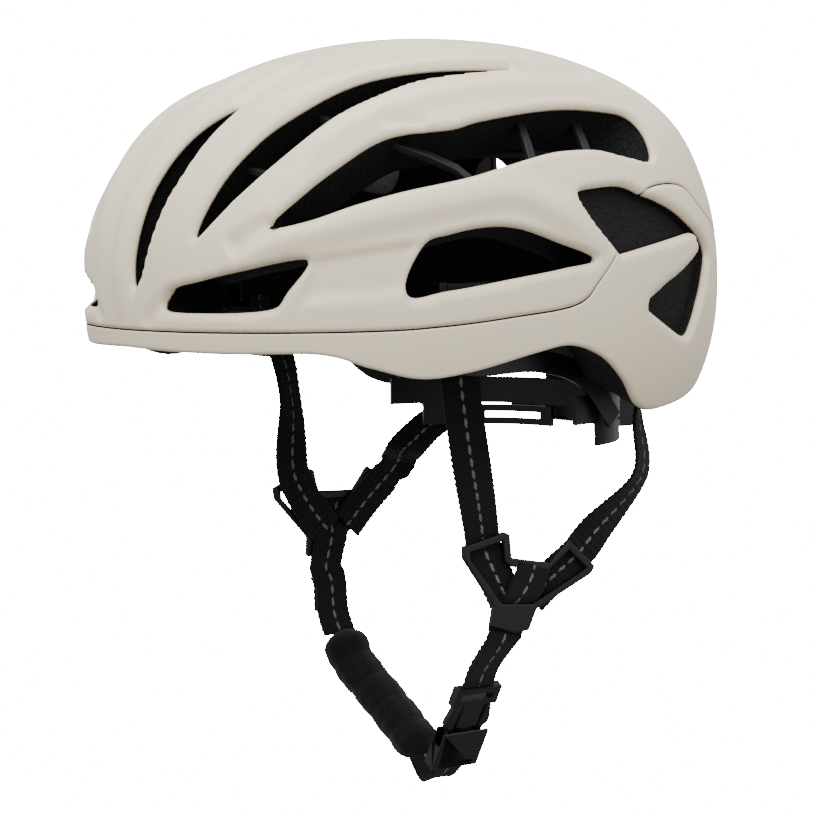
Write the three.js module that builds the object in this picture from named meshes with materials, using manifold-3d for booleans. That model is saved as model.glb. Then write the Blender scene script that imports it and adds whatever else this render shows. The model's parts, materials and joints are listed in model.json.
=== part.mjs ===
// A road cycling helmet: foam liner, two thin shells, reinforcement arches, pads, fit cradle with
// a dial, and a strap harness with a side-release buckle.
// Millimetres, +Z up. The rider faces -Y and the rider's left is +X.
// The origin is the middle of the head opening, level with the brim's lower edge.
import * as THREE from "three";
import { mergeVertices } from "three/addons/utils/BufferGeometryUtils.js";
import Module from "manifold-3d";

const wasm = await Module();
wasm.setup();

// ---- driving dimensions ----
const HALF_WIDTH = 106;         // helmet's half width
const FRONT_LENGTH = 140;       // centre to the brow
const REAR_LENGTH = 143;        // centre to the back
const CROWN_HEIGHT = 104;       // widest level to the crown
const WIDEST_LEVEL = 22;        // head opening to the widest level
const PLAN_POWER = 2.3;         // squareness of the plan outline
const ARCH_POWER = 2.25;        // squareness of the arch from rim to crown
const CROWN_SETBACK = 11;       // how far the crown sits behind the centre
const SHELL_WALL = 1.2;
const CLEARANCE = 0.3;          // between neighbouring pieces
const LINER_SIDE = 24;          // foam thickness at the sides
const LINER_ENDS = 31;          // foam thickness at the brow and the back
const LINER_CROWN = 27;         // foam thickness at the crown
const ARCH_DEPTH = 11;          // reinforcement arches below the outer surface
const ARCH_WIDTH = 4;
const ARCH_WALL = 3;
const PAD_WALL = 5;
const STRAP_WIDTH = 16;
const STRAP_WALL = 1.5;
const CRADLE_WALL = 2;
const CRADLE_HEIGHT = 12;
const CRADLE_LEVEL = -30;       // middle of the cradle's band
const CRADLE_BACK = 94;         // centre to the inside of the band at the back
const CRADLE_SIDE = 66;         // centre to the inside of the band at the sides
const HOUSING_WIDTH = 50;
const HOUSING_HEIGHT = 27;
const HOUSING_DEPTH = 11;
const HOUSING_WALL = 1.8;
const KNOB_RADIUS = 13.5;
const KNOB_DEPTH = 8;
const PINION_TEETH = 12;
const TOOTH_MODULE = 0.8;       // pitch diameter per tooth
const RACK_HEIGHT = 4.5;
const RACK_WALL = 2.4;
const STRIP_WIDTH = 14;
const STRIP_WALL = 1.6;
const SPLITTER_WALL = 2.6;
const BUCKLE_WIDTH = 24;
const BUCKLE_WALL = 7;
const SOCKET_LENGTH = 19;
const CHIN_PAD_WIDTH = 22;
const CHIN_PAD_WALL = 12;

// ---- colours ----
const CREAM = 0xd8cfc2;
const BLACK_FOAM = 0x141414;
const BLACK_PLASTIC = 0x1b1b1d;
const GREY_PLASTIC = 0x34363a;
const BLACK_FABRIC = 0x101012;

const helmet = new THREE.Group();
const degrees = THREE.MathUtils.degToRad;
const vec = (x, y, z) => new THREE.Vector3(x, y, z);
const BACKWARD = vec(0, 1, 0);
const UPWARD = vec(0, 0, 1);

function add(name, geometry, color, roughness = 0.6) {
  const mesh = new THREE.Mesh(geometry, new THREE.MeshStandardMaterial({ color, roughness, metalness: 0 }));
  mesh.name = name;
  helmet.add(mesh);
  return mesh;
}

// ---- solids: join and cut ----
function solid(geometry) {
  const bare = geometry.clone();
  bare.deleteAttribute("normal");
  bare.deleteAttribute("uv");
  const merged = mergeVertices(bare, 1e-4);
  return new wasm.Manifold(new wasm.Mesh({
    numProp: 3,
    vertProperties: new Float32Array(merged.attributes.position.array),
    triVerts: new Uint32Array(merged.index.array),
  }));
}

function shape(manifold) {
  const { vertProperties, triVerts } = manifold.getMesh();
  const geometry = new THREE.BufferGeometry();
  geometry.setAttribute("position", new THREE.BufferAttribute(new Float32Array(vertProperties), 3));
  geometry.setIndex(new THREE.BufferAttribute(new Uint32Array(triVerts), 1));
  return geometry;
}

function cut(body, tools) {
  return tools.reduce((left, tool) => left.subtract(tool), body);
}

function join(bodies) {
  return bodies.reduce((all, body) => all.add(body));
}

function largest(manifold) {
  const pieces = manifold.decompose();
  return pieces.reduce((big, piece) => (piece.volume() > big.volume() ? piece : big));
}

function block(wide, deep, high, x, y, z) {
  return solid(new THREE.BoxGeometry(wide, deep, high).translate(x, y, z));
}

// ---- the helmet's form ----
// turn 0 is the brow, 90 the rider's left, 180 the back. rise 0 is the widest level, 90 the crown.
const OUTER = { side: HALF_WIDTH, front: FRONT_LENGTH, rear: REAR_LENGTH, crown: CROWN_HEIGHT };
const CAVITY = {
  side: HALF_WIDTH - LINER_SIDE, front: FRONT_LENGTH - LINER_ENDS,
  rear: REAR_LENGTH - LINER_ENDS, crown: CROWN_HEIGHT - LINER_CROWN,
};
const inset = (size, depth) => ({
  side: size.side - depth, front: size.front - depth, rear: size.rear - depth, crown: size.crown - depth,
});
const power = (value, exponent) => Math.sign(value) * Math.abs(value) ** exponent;

function form(turn, rise, size = OUTER) {
  const along = Math.cos(degrees(turn));
  const across = Math.sin(degrees(turn));
  const length = along > 0 ? size.front : size.rear;
  const reach = ((Math.abs(along) / length) ** PLAN_POWER + (Math.abs(across) / size.side) ** PLAN_POWER)
    ** (-1 / PLAN_POWER);
  const radius = reach * power(Math.cos(degrees(rise)), 2 / ARCH_POWER);
  const lift = Math.sin(degrees(rise));
  return vec(
    radius * across,
    -radius * along + CROWN_SETBACK * Math.max(lift, 0) ** 2,
    WIDEST_LEVEL + size.crown * power(lift, 2 / ARCH_POWER),
  );
}

// A level given at a few turns, from brow to back, and the same on both sides.
function level(stops) {
  const curve = new THREE.SplineCurve(stops.map(([turn, rise]) => new THREE.Vector2(turn, rise)));
  const fine = curve.getPoints(stops.length * 12);
  return (turn) => {
    const t = Math.abs(((turn + 180) % 360 + 360) % 360 - 180);
    const next = Math.max(1, fine.findIndex((p, i) => i > 0 && p.x >= t - 1e-6));
    const a = fine[next - 1];
    const b = fine[next];
    return a.y + (b.y - a.y) * THREE.MathUtils.clamp((t - a.x) / (b.x - a.x || 1), 0, 1);
  };
}

const rimLevel = level([
  [0, -9.5], [22, -10], [38, -10], [47, -13], [56, -15.5], [66, -14.5], [82, -11], [92, -9.8],
  [101, -12.5], [109, -18], [117, -25], [126, -27.5], [138, -26], [155, -22], [180, -20],
]);
const seamLevel = level([
  [0, -5.8], [45, -5.5], [60, -4.9], [76, -3.6], [92, -2], [99, 1.5], [106, 8], [113, 17],
  [119, 20.5], [130, 20.5], [138, 15], [150, 9], [165, 7], [180, 6.5],
]);

// Rows of rises from the rim up to the seam, and from the seam up to the crown. The shells and the
// liner share them, so that their faceted walls stay parallel.
const TURNS = 48;
const BRIM_ROWS = 3;
const CROWN_ROWS = 7;
const SEAM_GAP = 0.15;          // degrees each side of the seam

function brimRows(turn, gap = 0) {
  const rim = rimLevel(turn);
  const seam = seamLevel(turn);
  return Array.from({ length: BRIM_ROWS + 1 }, (_, j) => rim + ((seam - rim) * j) / BRIM_ROWS
    - (j === BRIM_ROWS ? gap : 0));
}

function crownRows(turn, gap = 0) {
  const seam = seamLevel(turn);
  return Array.from({ length: CROWN_ROWS + 1 }, (_, j) => seam + ((90 - seam) * j) / CROWN_ROWS
    + (j === 0 ? gap : 0));
}

const allRows = (turn) => [...brimRows(turn), ...crownRows(turn).slice(1)];

// A closed skin between two sizes of the form, through rows of rises. A last row at the crown is
// one point.
function skin(rowsAt, outer, inner) {
  const positions = [];
  const index = [];
  const capped = rowsAt(0).at(-1) === 90;
  const rows = rowsAt(0).length - (capped ? 1 : 0);
  for (const size of [outer, inner]) {
    for (let i = 0; i < TURNS; i += 1) {
      const turn = (360 * i) / TURNS;
      rowsAt(turn).slice(0, rows).forEach((rise) => positions.push(...form(turn, rise, size).toArray()));
    }
  }
  const layer = TURNS * rows;
  const at = (side, i, j) => side * layer + (i % TURNS) * rows + j;
  const quad = (a, b, c, d) => index.push(a, b, c, a, c, d);
  for (let i = 0; i < TURNS; i += 1) {
    for (let j = 0; j < rows - 1; j += 1) {
      quad(at(0, i, j), at(0, i + 1, j), at(0, i + 1, j + 1), at(0, i, j + 1));
      quad(at(1, i, j), at(1, i, j + 1), at(1, i + 1, j + 1), at(1, i + 1, j));
    }
    quad(at(1, i, 0), at(1, i + 1, 0), at(0, i + 1, 0), at(0, i, 0));
    if (capped) {
      index.push(at(0, i, rows - 1), at(0, i + 1, rows - 1), 2 * layer);
      index.push(at(1, i, rows - 1), 2 * layer + 1, at(1, i + 1, rows - 1));
    } else {
      quad(at(0, i, rows - 1), at(0, i + 1, rows - 1), at(1, i + 1, rows - 1), at(1, i, rows - 1));
    }
  }
  if (capped) positions.push(...form(0, 90, outer).toArray(), ...form(0, 90, inner).toArray());
  const geometry = new THREE.BufferGeometry();
  geometry.setAttribute("position", new THREE.Float32BufferAttribute(positions, 3));
  geometry.setIndex(index);
  return geometry;
}

// ---- vents: outlines on the form as [turn, rise], on the rider's left ----
const VENTS = {
  crown_slot: [[3.5, 1], [2.9, 5], [3.1, 13], [3.6, 23], [5.2, 33], [8.5, 40], [12.8, 43], [12.6, 34],
    [11.2, 24], [9, 15.5], [7.4, 9], [5.6, 3]],
  upper_slot: [[17, 10.5], [19, 21], [22, 30], [26, 38], [35, 48.5], [47, 54], [65, 57], [92, 58],
    [77, 56], [61, 53.5], [50, 50], [38, 41], [31, 31], [22.5, 18]],
  side_vent: [[30, 12.6], [35, 20], [40, 26], [46, 32], [52, 34.5], [63, 36], [71, 38.5], [88, 41.5],
    [102, 42.5], [114, 41.5], [122, 39.5], [124.5, 34], [122, 27], [113, 28.3], [105, 30], [96, 30],
    [88, 29], [76, 26], [66, 23], [53, 20], [44, 17], [36, 13.5]],
  brow_vent: [[10.8, -2], [13, 1], [18, 2.3], [25, 4], [36.5, 6.2], [33, 0.2], [30, -1.8], [20, -2.4]],
  temple_vent: [[53.4, 0.4], [56.7, 8.7], [62, 10.8], [70, 12.2], [78, 11.8], [88, 8.9], [98.6, 5.3],
    [90, 3.8], [76, 2.2], [62, 0.6]],
  rear_port_inner: [[176, 20], [176, 42], [172, 50], [164.5, 47], [162, 36], [164, 20]],
  rear_port_outer: [[157, 17], [156.5, 34], [153, 41], [148, 36], [147, 24], [150, 17]],
};
// The recess round the arrow-shaped tooth behind the temple, where the foam shows.
const REAR_RECESS = [[94.8, 18.2], [97, 20], [103, 20.7], [110.5, 20.8], [114.5, 18.8], [127.5, 16],
  [134.5, 11.8], [140, 6], [136.5, -1], [133, -7], [127, -9.6], [115, -3.6], [117.5, 0], [124, 2.2],
  [130.4, 4], [132.8, 7.2], [131.5, 9.2], [120, 7.8], [106, 6], [100.5, 12]];
const RECESS_DEPTH = 6;
const VENT_DRAFT = 0.86;        // width of a vent at the cavity over its width at the shell

// A plug along the rays from the form's centre through an outline.
function plug(outline, side, fromDepth, toDepth, draft = 1) {
  const stops = outline.map(([turn, rise]) => form(side * turn, rise));
  const ring = new THREE.CatmullRomCurve3(stops, true, "centripetal").getPoints(outline.length);
  ring.pop();
  const centre = vec(0, 0, WIDEST_LEVEL);
  const middle = ring.reduce((sum, p) => sum.add(p), vec(0, 0, 0)).divideScalar(ring.length);
  const out = middle.clone().sub(centre).normalize();
  const right = vec(0, 0, 1).cross(out).normalize();
  const up = out.clone().cross(right);
  const reach = middle.distanceTo(centre);
  const project = (p) => {
    const ray = p.clone().sub(centre);
    const scale = ray.dot(out);
    return new THREE.Vector2(ray.dot(right) / scale, ray.dot(up) / scale);
  };
  if (THREE.ShapeUtils.isClockWise(ring.map(project))) ring.reverse();
  const layer = (depth, width) => ring.map((p) => p.clone().sub(middle).multiplyScalar(width).add(middle)
    .sub(centre).multiplyScalar(1 - depth / reach).add(centre));
  const faces = THREE.ShapeUtils.triangulateShape(ring.map(project), []);
  return prism(layer(fromDepth, 1), layer(toDepth, draft), faces);
}

// A closed solid between two rings of the same length.
function prism(top, bottom, faces) {
  const count = top.length;
  const index = [];
  faces.forEach(([a, b, c]) => index.push(a, b, c, count + a, count + c, count + b));
  for (let i = 0; i < count; i += 1) {
    const j = (i + 1) % count;
    index.push(i, count + i, j, j, count + i, count + j);
  }
  return outward(top.concat(bottom), index);
}

function outward(points, index) {
  const geometry = new THREE.BufferGeometry();
  geometry.setAttribute("position", new THREE.Float32BufferAttribute(points.flatMap((p) => p.toArray()), 3));
  let volume = 0;
  for (let i = 0; i < index.length; i += 3) {
    const [a, b, c] = [points[index[i]], points[index[i + 1]], points[index[i + 2]]];
    volume += a.dot(b.clone().cross(c));
  }
  if (volume < 0) index.reverse();
  geometry.setIndex(index);
  return geometry;
}

// ---- sweeps: a section [across, out] carried along stations {at, side} ----
function sweep(stations, section) {
  const points = [];
  const index = [];
  const sides = section.length;
  stations.forEach(({ at, side }, i) => {
    const before = stations[Math.max(i - 1, 0)].at;
    const after = stations[Math.min(i + 1, stations.length - 1)].at;
    const along = after.clone().sub(before).normalize();
    const across = side.clone().addScaledVector(along, -side.dot(along)).normalize();
    const out = across.clone().cross(along);
    section.forEach(([a, b]) => points.push(at.clone().addScaledVector(across, a).addScaledVector(out, b)));
  });
  for (let i = 0; i < stations.length - 1; i += 1) {
    for (let k = 0; k < sides; k += 1) {
      const a = i * sides + k;
      const b = i * sides + ((k + 1) % sides);
      index.push(a, b, a + sides, b, b + sides, a + sides);
    }
  }
  const end = (stations.length - 1) * sides;
  for (let k = 1; k < sides - 1; k += 1) {
    index.push(0, k + 1, k, end, end + k, end + k + 1);
  }
  return outward(points, index);
}

const rectangle = (wide, wall) => [
  [-wide / 2, -wall / 2], [wide / 2, -wall / 2], [wide / 2, wall / 2], [-wide / 2, wall / 2],
];
const oval = (wide, wall, sides) => Array.from({ length: sides }, (_, k) => [
  (wide / 2) * Math.cos((2 * Math.PI * k) / sides), (wall / 2) * Math.sin((2 * Math.PI * k) / sides),
]);
// The level direction for a turn: 0 looks to the front, 90 to the rider's left.
const facing = (turn) => vec(Math.sin(degrees(turn)), -Math.cos(degrees(turn)), 0);

// Stations along hand-placed stops [x, y, z, turn that the wide face looks to].
function route(stops, steps) {
  const path = new THREE.CatmullRomCurve3(stops.map(([x, y, z]) => vec(x, y, z)), false, "centripetal");
  const turns = new THREE.SplineCurve(stops.map((stop, i) => new THREE.Vector2(i, stop[3])));
  return Array.from({ length: steps + 1 }, (_, i) => ({
    at: path.getPoint(i / steps), side: facing(turns.getPoint(i / steps).y + 90),
  }));
}

// ---- liner and shells ----
const LINER = inset(OUTER, SHELL_WALL + CLEARANCE);
const PLUG_PAST = -12;          // a vent's plug starts outside the shell
const PLUG_THROUGH = 75;        // and ends inside the cavity

const ARCHES = {
  brow_arch: [[0, 33], [7, 31.5], [16, 29.5], [29, 25.5]],
  front_arch: [[0, 53], [12, 51], [24, 47], [36, 41.5], [50, 35], [64, 28.5], [71, 22]],
  middle_arch: [[0, 90], [88, 78], [88, 60], [88, 45], [88, 33], [88, 21]],
  rear_arch: [[180, 84], [140, 78], [120, 62], [113, 46], [110, 34], [109, 23]],
};

function archStations(stops) {
  const left = stops.map(([turn, rise]) => form(turn, rise, inset(OUTER, ARCH_DEPTH)));
  const right = left.slice(1).reverse().map((p) => vec(-p.x, p.y, p.z));
  const path = new THREE.CatmullRomCurve3([...right, ...left], false, "centripetal");
  return path.getPoints(24).map((at) => ({ at, side: BACKWARD }));
}

// The photo shows plain shell where the crown slot's twin would be, so the slot is on the left alone.
const ONE_SIDED = ["crown_slot"];
const sidesOf = (name) => (ONE_SIDED.includes(name) ? [1] : [1, -1]);
const ventPlugs = Object.entries(VENTS).flatMap(([name, outline]) => sidesOf(name)
  .map((side) => solid(plug(outline, side, PLUG_PAST, PLUG_THROUGH, VENT_DRAFT))));
const recessPlugs = [1, -1].map((side) => solid(plug(REAR_RECESS, side, PLUG_PAST, RECESS_DEPTH)));

function buildShells() {
  const openings = [...ventPlugs, ...recessPlugs];
  const wall = inset(OUTER, SHELL_WALL);
  const upper = skin((turn) => crownRows(turn, SEAM_GAP), OUTER, wall);
  const lower = skin((turn) => brimRows(turn, SEAM_GAP), OUTER, wall);
  add("upper_shell", shape(largest(cut(solid(upper), openings))), CREAM, 0.35);
  add("lower_shell", shape(largest(cut(solid(lower), openings))), CREAM, 0.35);
}

function buildArches() {
  for (const [name, stops] of Object.entries(ARCHES)) {
    add(name, sweep(archStations(stops), rectangle(ARCH_WIDTH, ARCH_WALL)), GREY_PLASTIC);
  }
}

function buildLiner(pockets) {
  const foam = solid(skin(allRows, LINER, CAVITY));
  const tunnels = Object.values(ARCHES).map((stops) => solid(sweep(
    archStations(stops), rectangle(ARCH_WIDTH + 2 * CLEARANCE, ARCH_WALL + 2 * CLEARANCE))));
  add("eps_liner", shape(largest(cut(foam, [...ventPlugs, ...recessPlugs, ...tunnels, ...pockets]))),
    BLACK_FOAM, 0.9);
}

// ---- comfort pads on the cavity wall ----
const PAD_GAP = 1;              // hook tape between the foam and a pad
function padPatch(name, fromTurn, toTurn, fromRise, toRise) {
  const steps = Math.max(4, Math.round(Math.abs(toTurn - fromTurn) / 6));
  const near = inset(CAVITY, PAD_GAP);
  const far = inset(CAVITY, PAD_GAP + PAD_WALL);
  const ring = (turn) => [form(turn, fromRise, near), form(turn, toRise, near),
    form(turn, toRise, far), form(turn, fromRise, far)];
  const points = [];
  const index = [];
  for (let i = 0; i <= steps; i += 1) points.push(...ring(fromTurn + ((toTurn - fromTurn) * i) / steps));
  for (let i = 0; i < steps; i += 1) {
    for (let k = 0; k < 4; k += 1) {
      const a = 4 * i + k;
      const b = 4 * i + ((k + 1) % 4);
      index.push(a, b, a + 4, b, b + 4, a + 4);
    }
  }
  const end = 4 * steps;
  index.push(0, 2, 1, 0, 3, 2, end, end + 1, end + 2, end, end + 2, end + 3);
  add(name, outward(points, index), BLACK_FABRIC, 0.95);
}

const CROWN_PAD_RADIUS = 24;
const CROWN_PAD_DROP = 3;       // cavity crown to the pad's top at its centre

function buildPads() {
  padPatch("brow_pad", -38, 38, -8.5, -3);
  padPatch("left_side_pad", 64, 104, 45, 54);
  padPatch("right_side_pad", -104, -64, 45, 54);
  const pad = new THREE.CylinderGeometry(CROWN_PAD_RADIUS, CROWN_PAD_RADIUS, PAD_WALL, 28);
  pad.rotateX(Math.PI / 2);
  pad.translate(0, CROWN_SETBACK, WIDEST_LEVEL + CAVITY.crown - CROWN_PAD_DROP - PAD_WALL / 2);
  add("crown_pad", pad, BLACK_FABRIC, 0.95);
}

// ---- strap anchors: the front pair in the cavity wall, the rear pair in the lobes' lower face ----
const ANCHOR = { wide: STRAP_WIDTH + 6, deep: 10, high: 12, slotHigh: 8 };
const ANCHORS = {
  left_front_anchor: { turn: 70, rise: -1, sunk: 0, slotIn: 3 },
  right_front_anchor: { turn: -70, rise: -1, sunk: 0, slotIn: 3 },
  left_rear_anchor: { turn: 141.5, rise: -26, sunk: 5, slotIn: 0 },
  right_rear_anchor: { turn: -141.5, rise: -26, sunk: 5, slotIn: 0 },
};

function anchorBlock({ turn, rise, sunk }, grow) {
  const at = form(turn, rise, CAVITY).addScaledVector(facing(turn), sunk);
  const box = new THREE.BoxGeometry(ANCHOR.wide + 2 * grow, ANCHOR.deep + 2 * grow, ANCHOR.high + 2 * grow);
  return box.rotateZ(degrees(turn)).translate(at.x, at.y, at.z);
}

// How far a flat strap leaves the round cavity wall, so that its edges stay clear of the foam.
const EDGE_ROOM = STRAP_WIDTH / 10;

// The strap enters the slot from below. height is above the anchor's underside.
function anchorSlot({ turn, rise, sunk, slotIn }, height, inward = 0) {
  const at = form(turn, rise, CAVITY).addScaledVector(facing(turn), sunk - slotIn - inward);
  return [at.x, at.y, at.z - ANCHOR.high / 2 + height, turn];
}

function buildAnchors() {
  for (const [name, place] of Object.entries(ANCHORS)) {
    const [x, y, z] = anchorSlot(place, ANCHOR.slotHigh / 2 - 1);
    const slot = new THREE.BoxGeometry(
      STRAP_WIDTH + 3 * CLEARANCE, STRAP_WALL + 3 * CLEARANCE, ANCHOR.slotHigh + 2);
    slot.rotateZ(degrees(place.turn)).translate(x, y, z);
    add(name, shape(solid(anchorBlock(place, 0)).subtract(solid(slot))), BLACK_PLASTIC);
  }
}

// ---- strap splitters: Y-shaped frames with a lower band ----
const SPLITTER_OUTLINE = [[-32, 12.4], [-17.6, -8.4], [-19.3, -16.8], [-7, -20.8], [-0.5, -20.4],
  [3.5, -11.6], [30.4, 1], [32.6, 4.2], [19.5, 16.3], [10, 7.4], [-8.7, 10.9], [-9.6, 20.8], [-12, 22],
  [-32, 17.3]];
const SPLITTER_WINDOW = [[-28.6, 11.8], [-28.6, 14.8], [-13, 18.4], [-12, 9.6], [-9.3, 7.2], [8.9, 3.9],
  [19.4, 12], [28.3, 3.6], [1.6, -9.3], [-13.4, -8]];
const SPLITTERS = {
  left_splitter: { at: [57, 20, -101], turn: 82, side: 1, tilt: 0 },
  right_splitter: { at: [-56, 1.5, -81], turn: 90, side: -1, tilt: 8 },
};
const BEHIND = -(SPLITTER_WALL / 2 + 2 * CLEARANCE + STRAP_WALL / 2);

// A point by a splitter: back and up in its plane, and out from the head.
function bySplitter({ at, turn, side, tilt }, back, up, out) {
  const b = back * Math.cos(degrees(tilt)) - up * Math.sin(degrees(tilt));
  const u = back * Math.sin(degrees(tilt)) + up * Math.cos(degrees(tilt));
  const level = facing(turn + 90).multiplyScalar(b).addScaledVector(facing(turn), out);
  return [at[0] + side * level.x, at[1] + level.y, at[2] + u, side * turn];
}

function buildSplitters() {
  for (const [name, splitter] of Object.entries(SPLITTERS)) {
    const flat = new THREE.Shape(SPLITTER_OUTLINE.map(([b, u]) => new THREE.Vector2(b, u)));
    flat.holes.push(new THREE.Path(SPLITTER_WINDOW.map(([b, u]) => new THREE.Vector2(b, u))));
    const plate = new THREE.ExtrudeGeometry(flat, { depth: SPLITTER_WALL, bevelEnabled: false });
    const points = plate.attributes.position;
    const moved = Array.from({ length: points.count }, (_, i) => vec(...bySplitter(
      splitter, points.getX(i), points.getY(i), points.getZ(i) - SPLITTER_WALL / 2)));
    add(name, shape(solid(outward(moved, moved.map((_, i) => i)))), BLACK_PLASTIC, 0.5);
  }
}

// ---- side-release buckle ----
// Its own axes: x across, y out from the face, z from the plate towards the socket. The origin is
// the middle of the socket's mouth.
const BUCKLE_AT = [29, 6.8, -166];
const BUCKLE_ALONG = vec(-0.447, -0.03, -0.894).normalize();
const BUCKLE_ACROSS = BACKWARD.clone().addScaledVector(BUCKLE_ALONG, -BUCKLE_ALONG.y).normalize();
const BUCKLE_OUT = BUCKLE_ALONG.clone().cross(BUCKLE_ACROSS);
const PLATE_TOP = -22;
const PLATE_END = -13;
const PLATE_WALL = 4;
const STRAP_SLOT = 3;
const TONGUE_WALL = 3.4;
const TONGUE_WIDTH = 11;
const TONGUE_TIP_WIDTH = 6;
const TONGUE_IN = 11;           // length of the tongue inside the socket
const SOCKET_BAR = 5;
const PRONG_PIVOT = 8.5;
const PRONG_OUT = 11.9;         // the squeezed bulges stand out of the sides
const PRONG_IN = 6.6;

const buckleMatrix = new THREE.Matrix4().makeBasis(BUCKLE_ACROSS, BUCKLE_OUT, BUCKLE_ALONG)
  .setPosition(...BUCKLE_AT);
const onBuckle = (x, y, z) => vec(x, y, z).applyMatrix4(buckleMatrix);

function buckleBlock(wide, wall, from, to, across = 0) {
  return solid(new THREE.BoxGeometry(wide, wall, to - from).translate(across, 0, (from + to) / 2));
}

function placed(manifold) {
  return shape(manifold).applyMatrix4(buckleMatrix);
}

function prong(side) {
  const outline = [[PRONG_IN + 1, PLATE_END + 0.6], [PRONG_PIVOT + 1.6, PLATE_END + 0.6], [10.8, -9],
    [PRONG_OUT, -5], [11.6, -2.4], [9.4, -0.2], [9.2, 5], [8.2, 9.5], [PRONG_IN, 9.5], [PRONG_IN, -2],
    [PRONG_IN + 0.6, -8]];
  const flat = new THREE.Shape(outline.map(([across, along]) => new THREE.Vector2(side * across, along)));
  const body = new THREE.ExtrudeGeometry(flat, { depth: TONGUE_WALL, bevelEnabled: false });
  return body.rotateX(Math.PI / 2).translate(0, TONGUE_WALL / 2, 0);
}

function buildBuckle() {
  const plate = buckleBlock(BUCKLE_WIDTH, PLATE_WALL, PLATE_TOP, PLATE_END);
  const slot = buckleBlock(STRAP_WIDTH + 1, PLATE_WALL + 2, PLATE_TOP + 3, PLATE_TOP + 3 + STRAP_SLOT);
  const tongue = buckleBlock(TONGUE_WIDTH, TONGUE_WALL, PLATE_END - 1, -1.5);
  const tip = buckleBlock(TONGUE_TIP_WIDTH, TONGUE_WALL, -2, TONGUE_IN);
  add("buckle_male", placed(join([plate, tongue, tip]).subtract(slot)), BLACK_PLASTIC, 0.45);
  add("left_prong", placed(solid(prong(1))), BLACK_PLASTIC, 0.45);
  add("right_prong", placed(solid(prong(-1))), BLACK_PLASTIC, 0.45);
  const socket = buckleBlock(BUCKLE_WIDTH, BUCKLE_WALL, 0, SOCKET_LENGTH);
  const room = buckleBlock(BUCKLE_WIDTH - 4, TONGUE_WALL + 0.8, -1, SOCKET_LENGTH - SOCKET_BAR);
  const windows = buckleBlock(BUCKLE_WIDTH + 2, TONGUE_WALL + 0.8, -1, SOCKET_LENGTH / 2 - 2);
  const barSlot = buckleBlock(STRAP_WIDTH + 1, BUCKLE_WALL + 2, SOCKET_LENGTH - 3.2, SOCKET_LENGTH - 1.4);
  add("buckle_socket", placed(cut(socket, [room, windows, barSlot])), BLACK_PLASTIC, 0.45);
}

// ---- temple bands' sizes, which the front straps pass ----
const TEMPLE_HEIGHT = 9;
const TEMPLE_WALL = 1.6;
const TEMPLE_RISE = -19.5;      // level of the band past the ear
const TEMPLE_INWARD = 1.4;      // foam to the band's middle there

// ---- harness ----
const webbing = (name, stations) => add(
  name, sweep(stations, rectangle(STRAP_WIDTH, STRAP_WALL)), BLACK_FABRIC, 0.95);
const byBuckle = (x, y, z, turn = 90) => [...onBuckle(x, y, z).toArray(), turn];

// A second layer on the outer face of a strap.
function layerOn(stations, side) {
  const along = (i) => stations[Math.min(i + 1, stations.length - 1)].at.clone()
    .sub(stations[Math.max(i - 1, 0)].at).normalize();
  return stations.map(({ at, side: across }, i) => {
    const out = across.clone().cross(along(i)).normalize();
    if (out.x * side < 0) out.negate();
    return { at: at.clone().addScaledVector(out, STRAP_WALL + 2 * CLEARANCE), side: across };
  });
}

function hang(name, inward = 0) {
  const anchor = ANCHORS[name];
  return [anchorSlot(anchor, ANCHOR.slotHigh - 2), anchorSlot(anchor, 1), anchorSlot(anchor, -4, inward)];
}

// A front strap passes the temple band on the rider's side of it.
function hangInFront(name) {
  const { turn } = ANCHORS[name];
  const away = TEMPLE_INWARD + TEMPLE_WALL / 2 + STRAP_WALL / 2 + 3 * CLEARANCE + EDGE_ROOM;
  const at = form(turn, TEMPLE_RISE, CAVITY).addScaledVector(facing(turn), -away);
  return [...hang(name, EDGE_ROOM), [at.x, at.y, at.z + TEMPLE_HEIGHT / 2, turn]];
}

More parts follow.
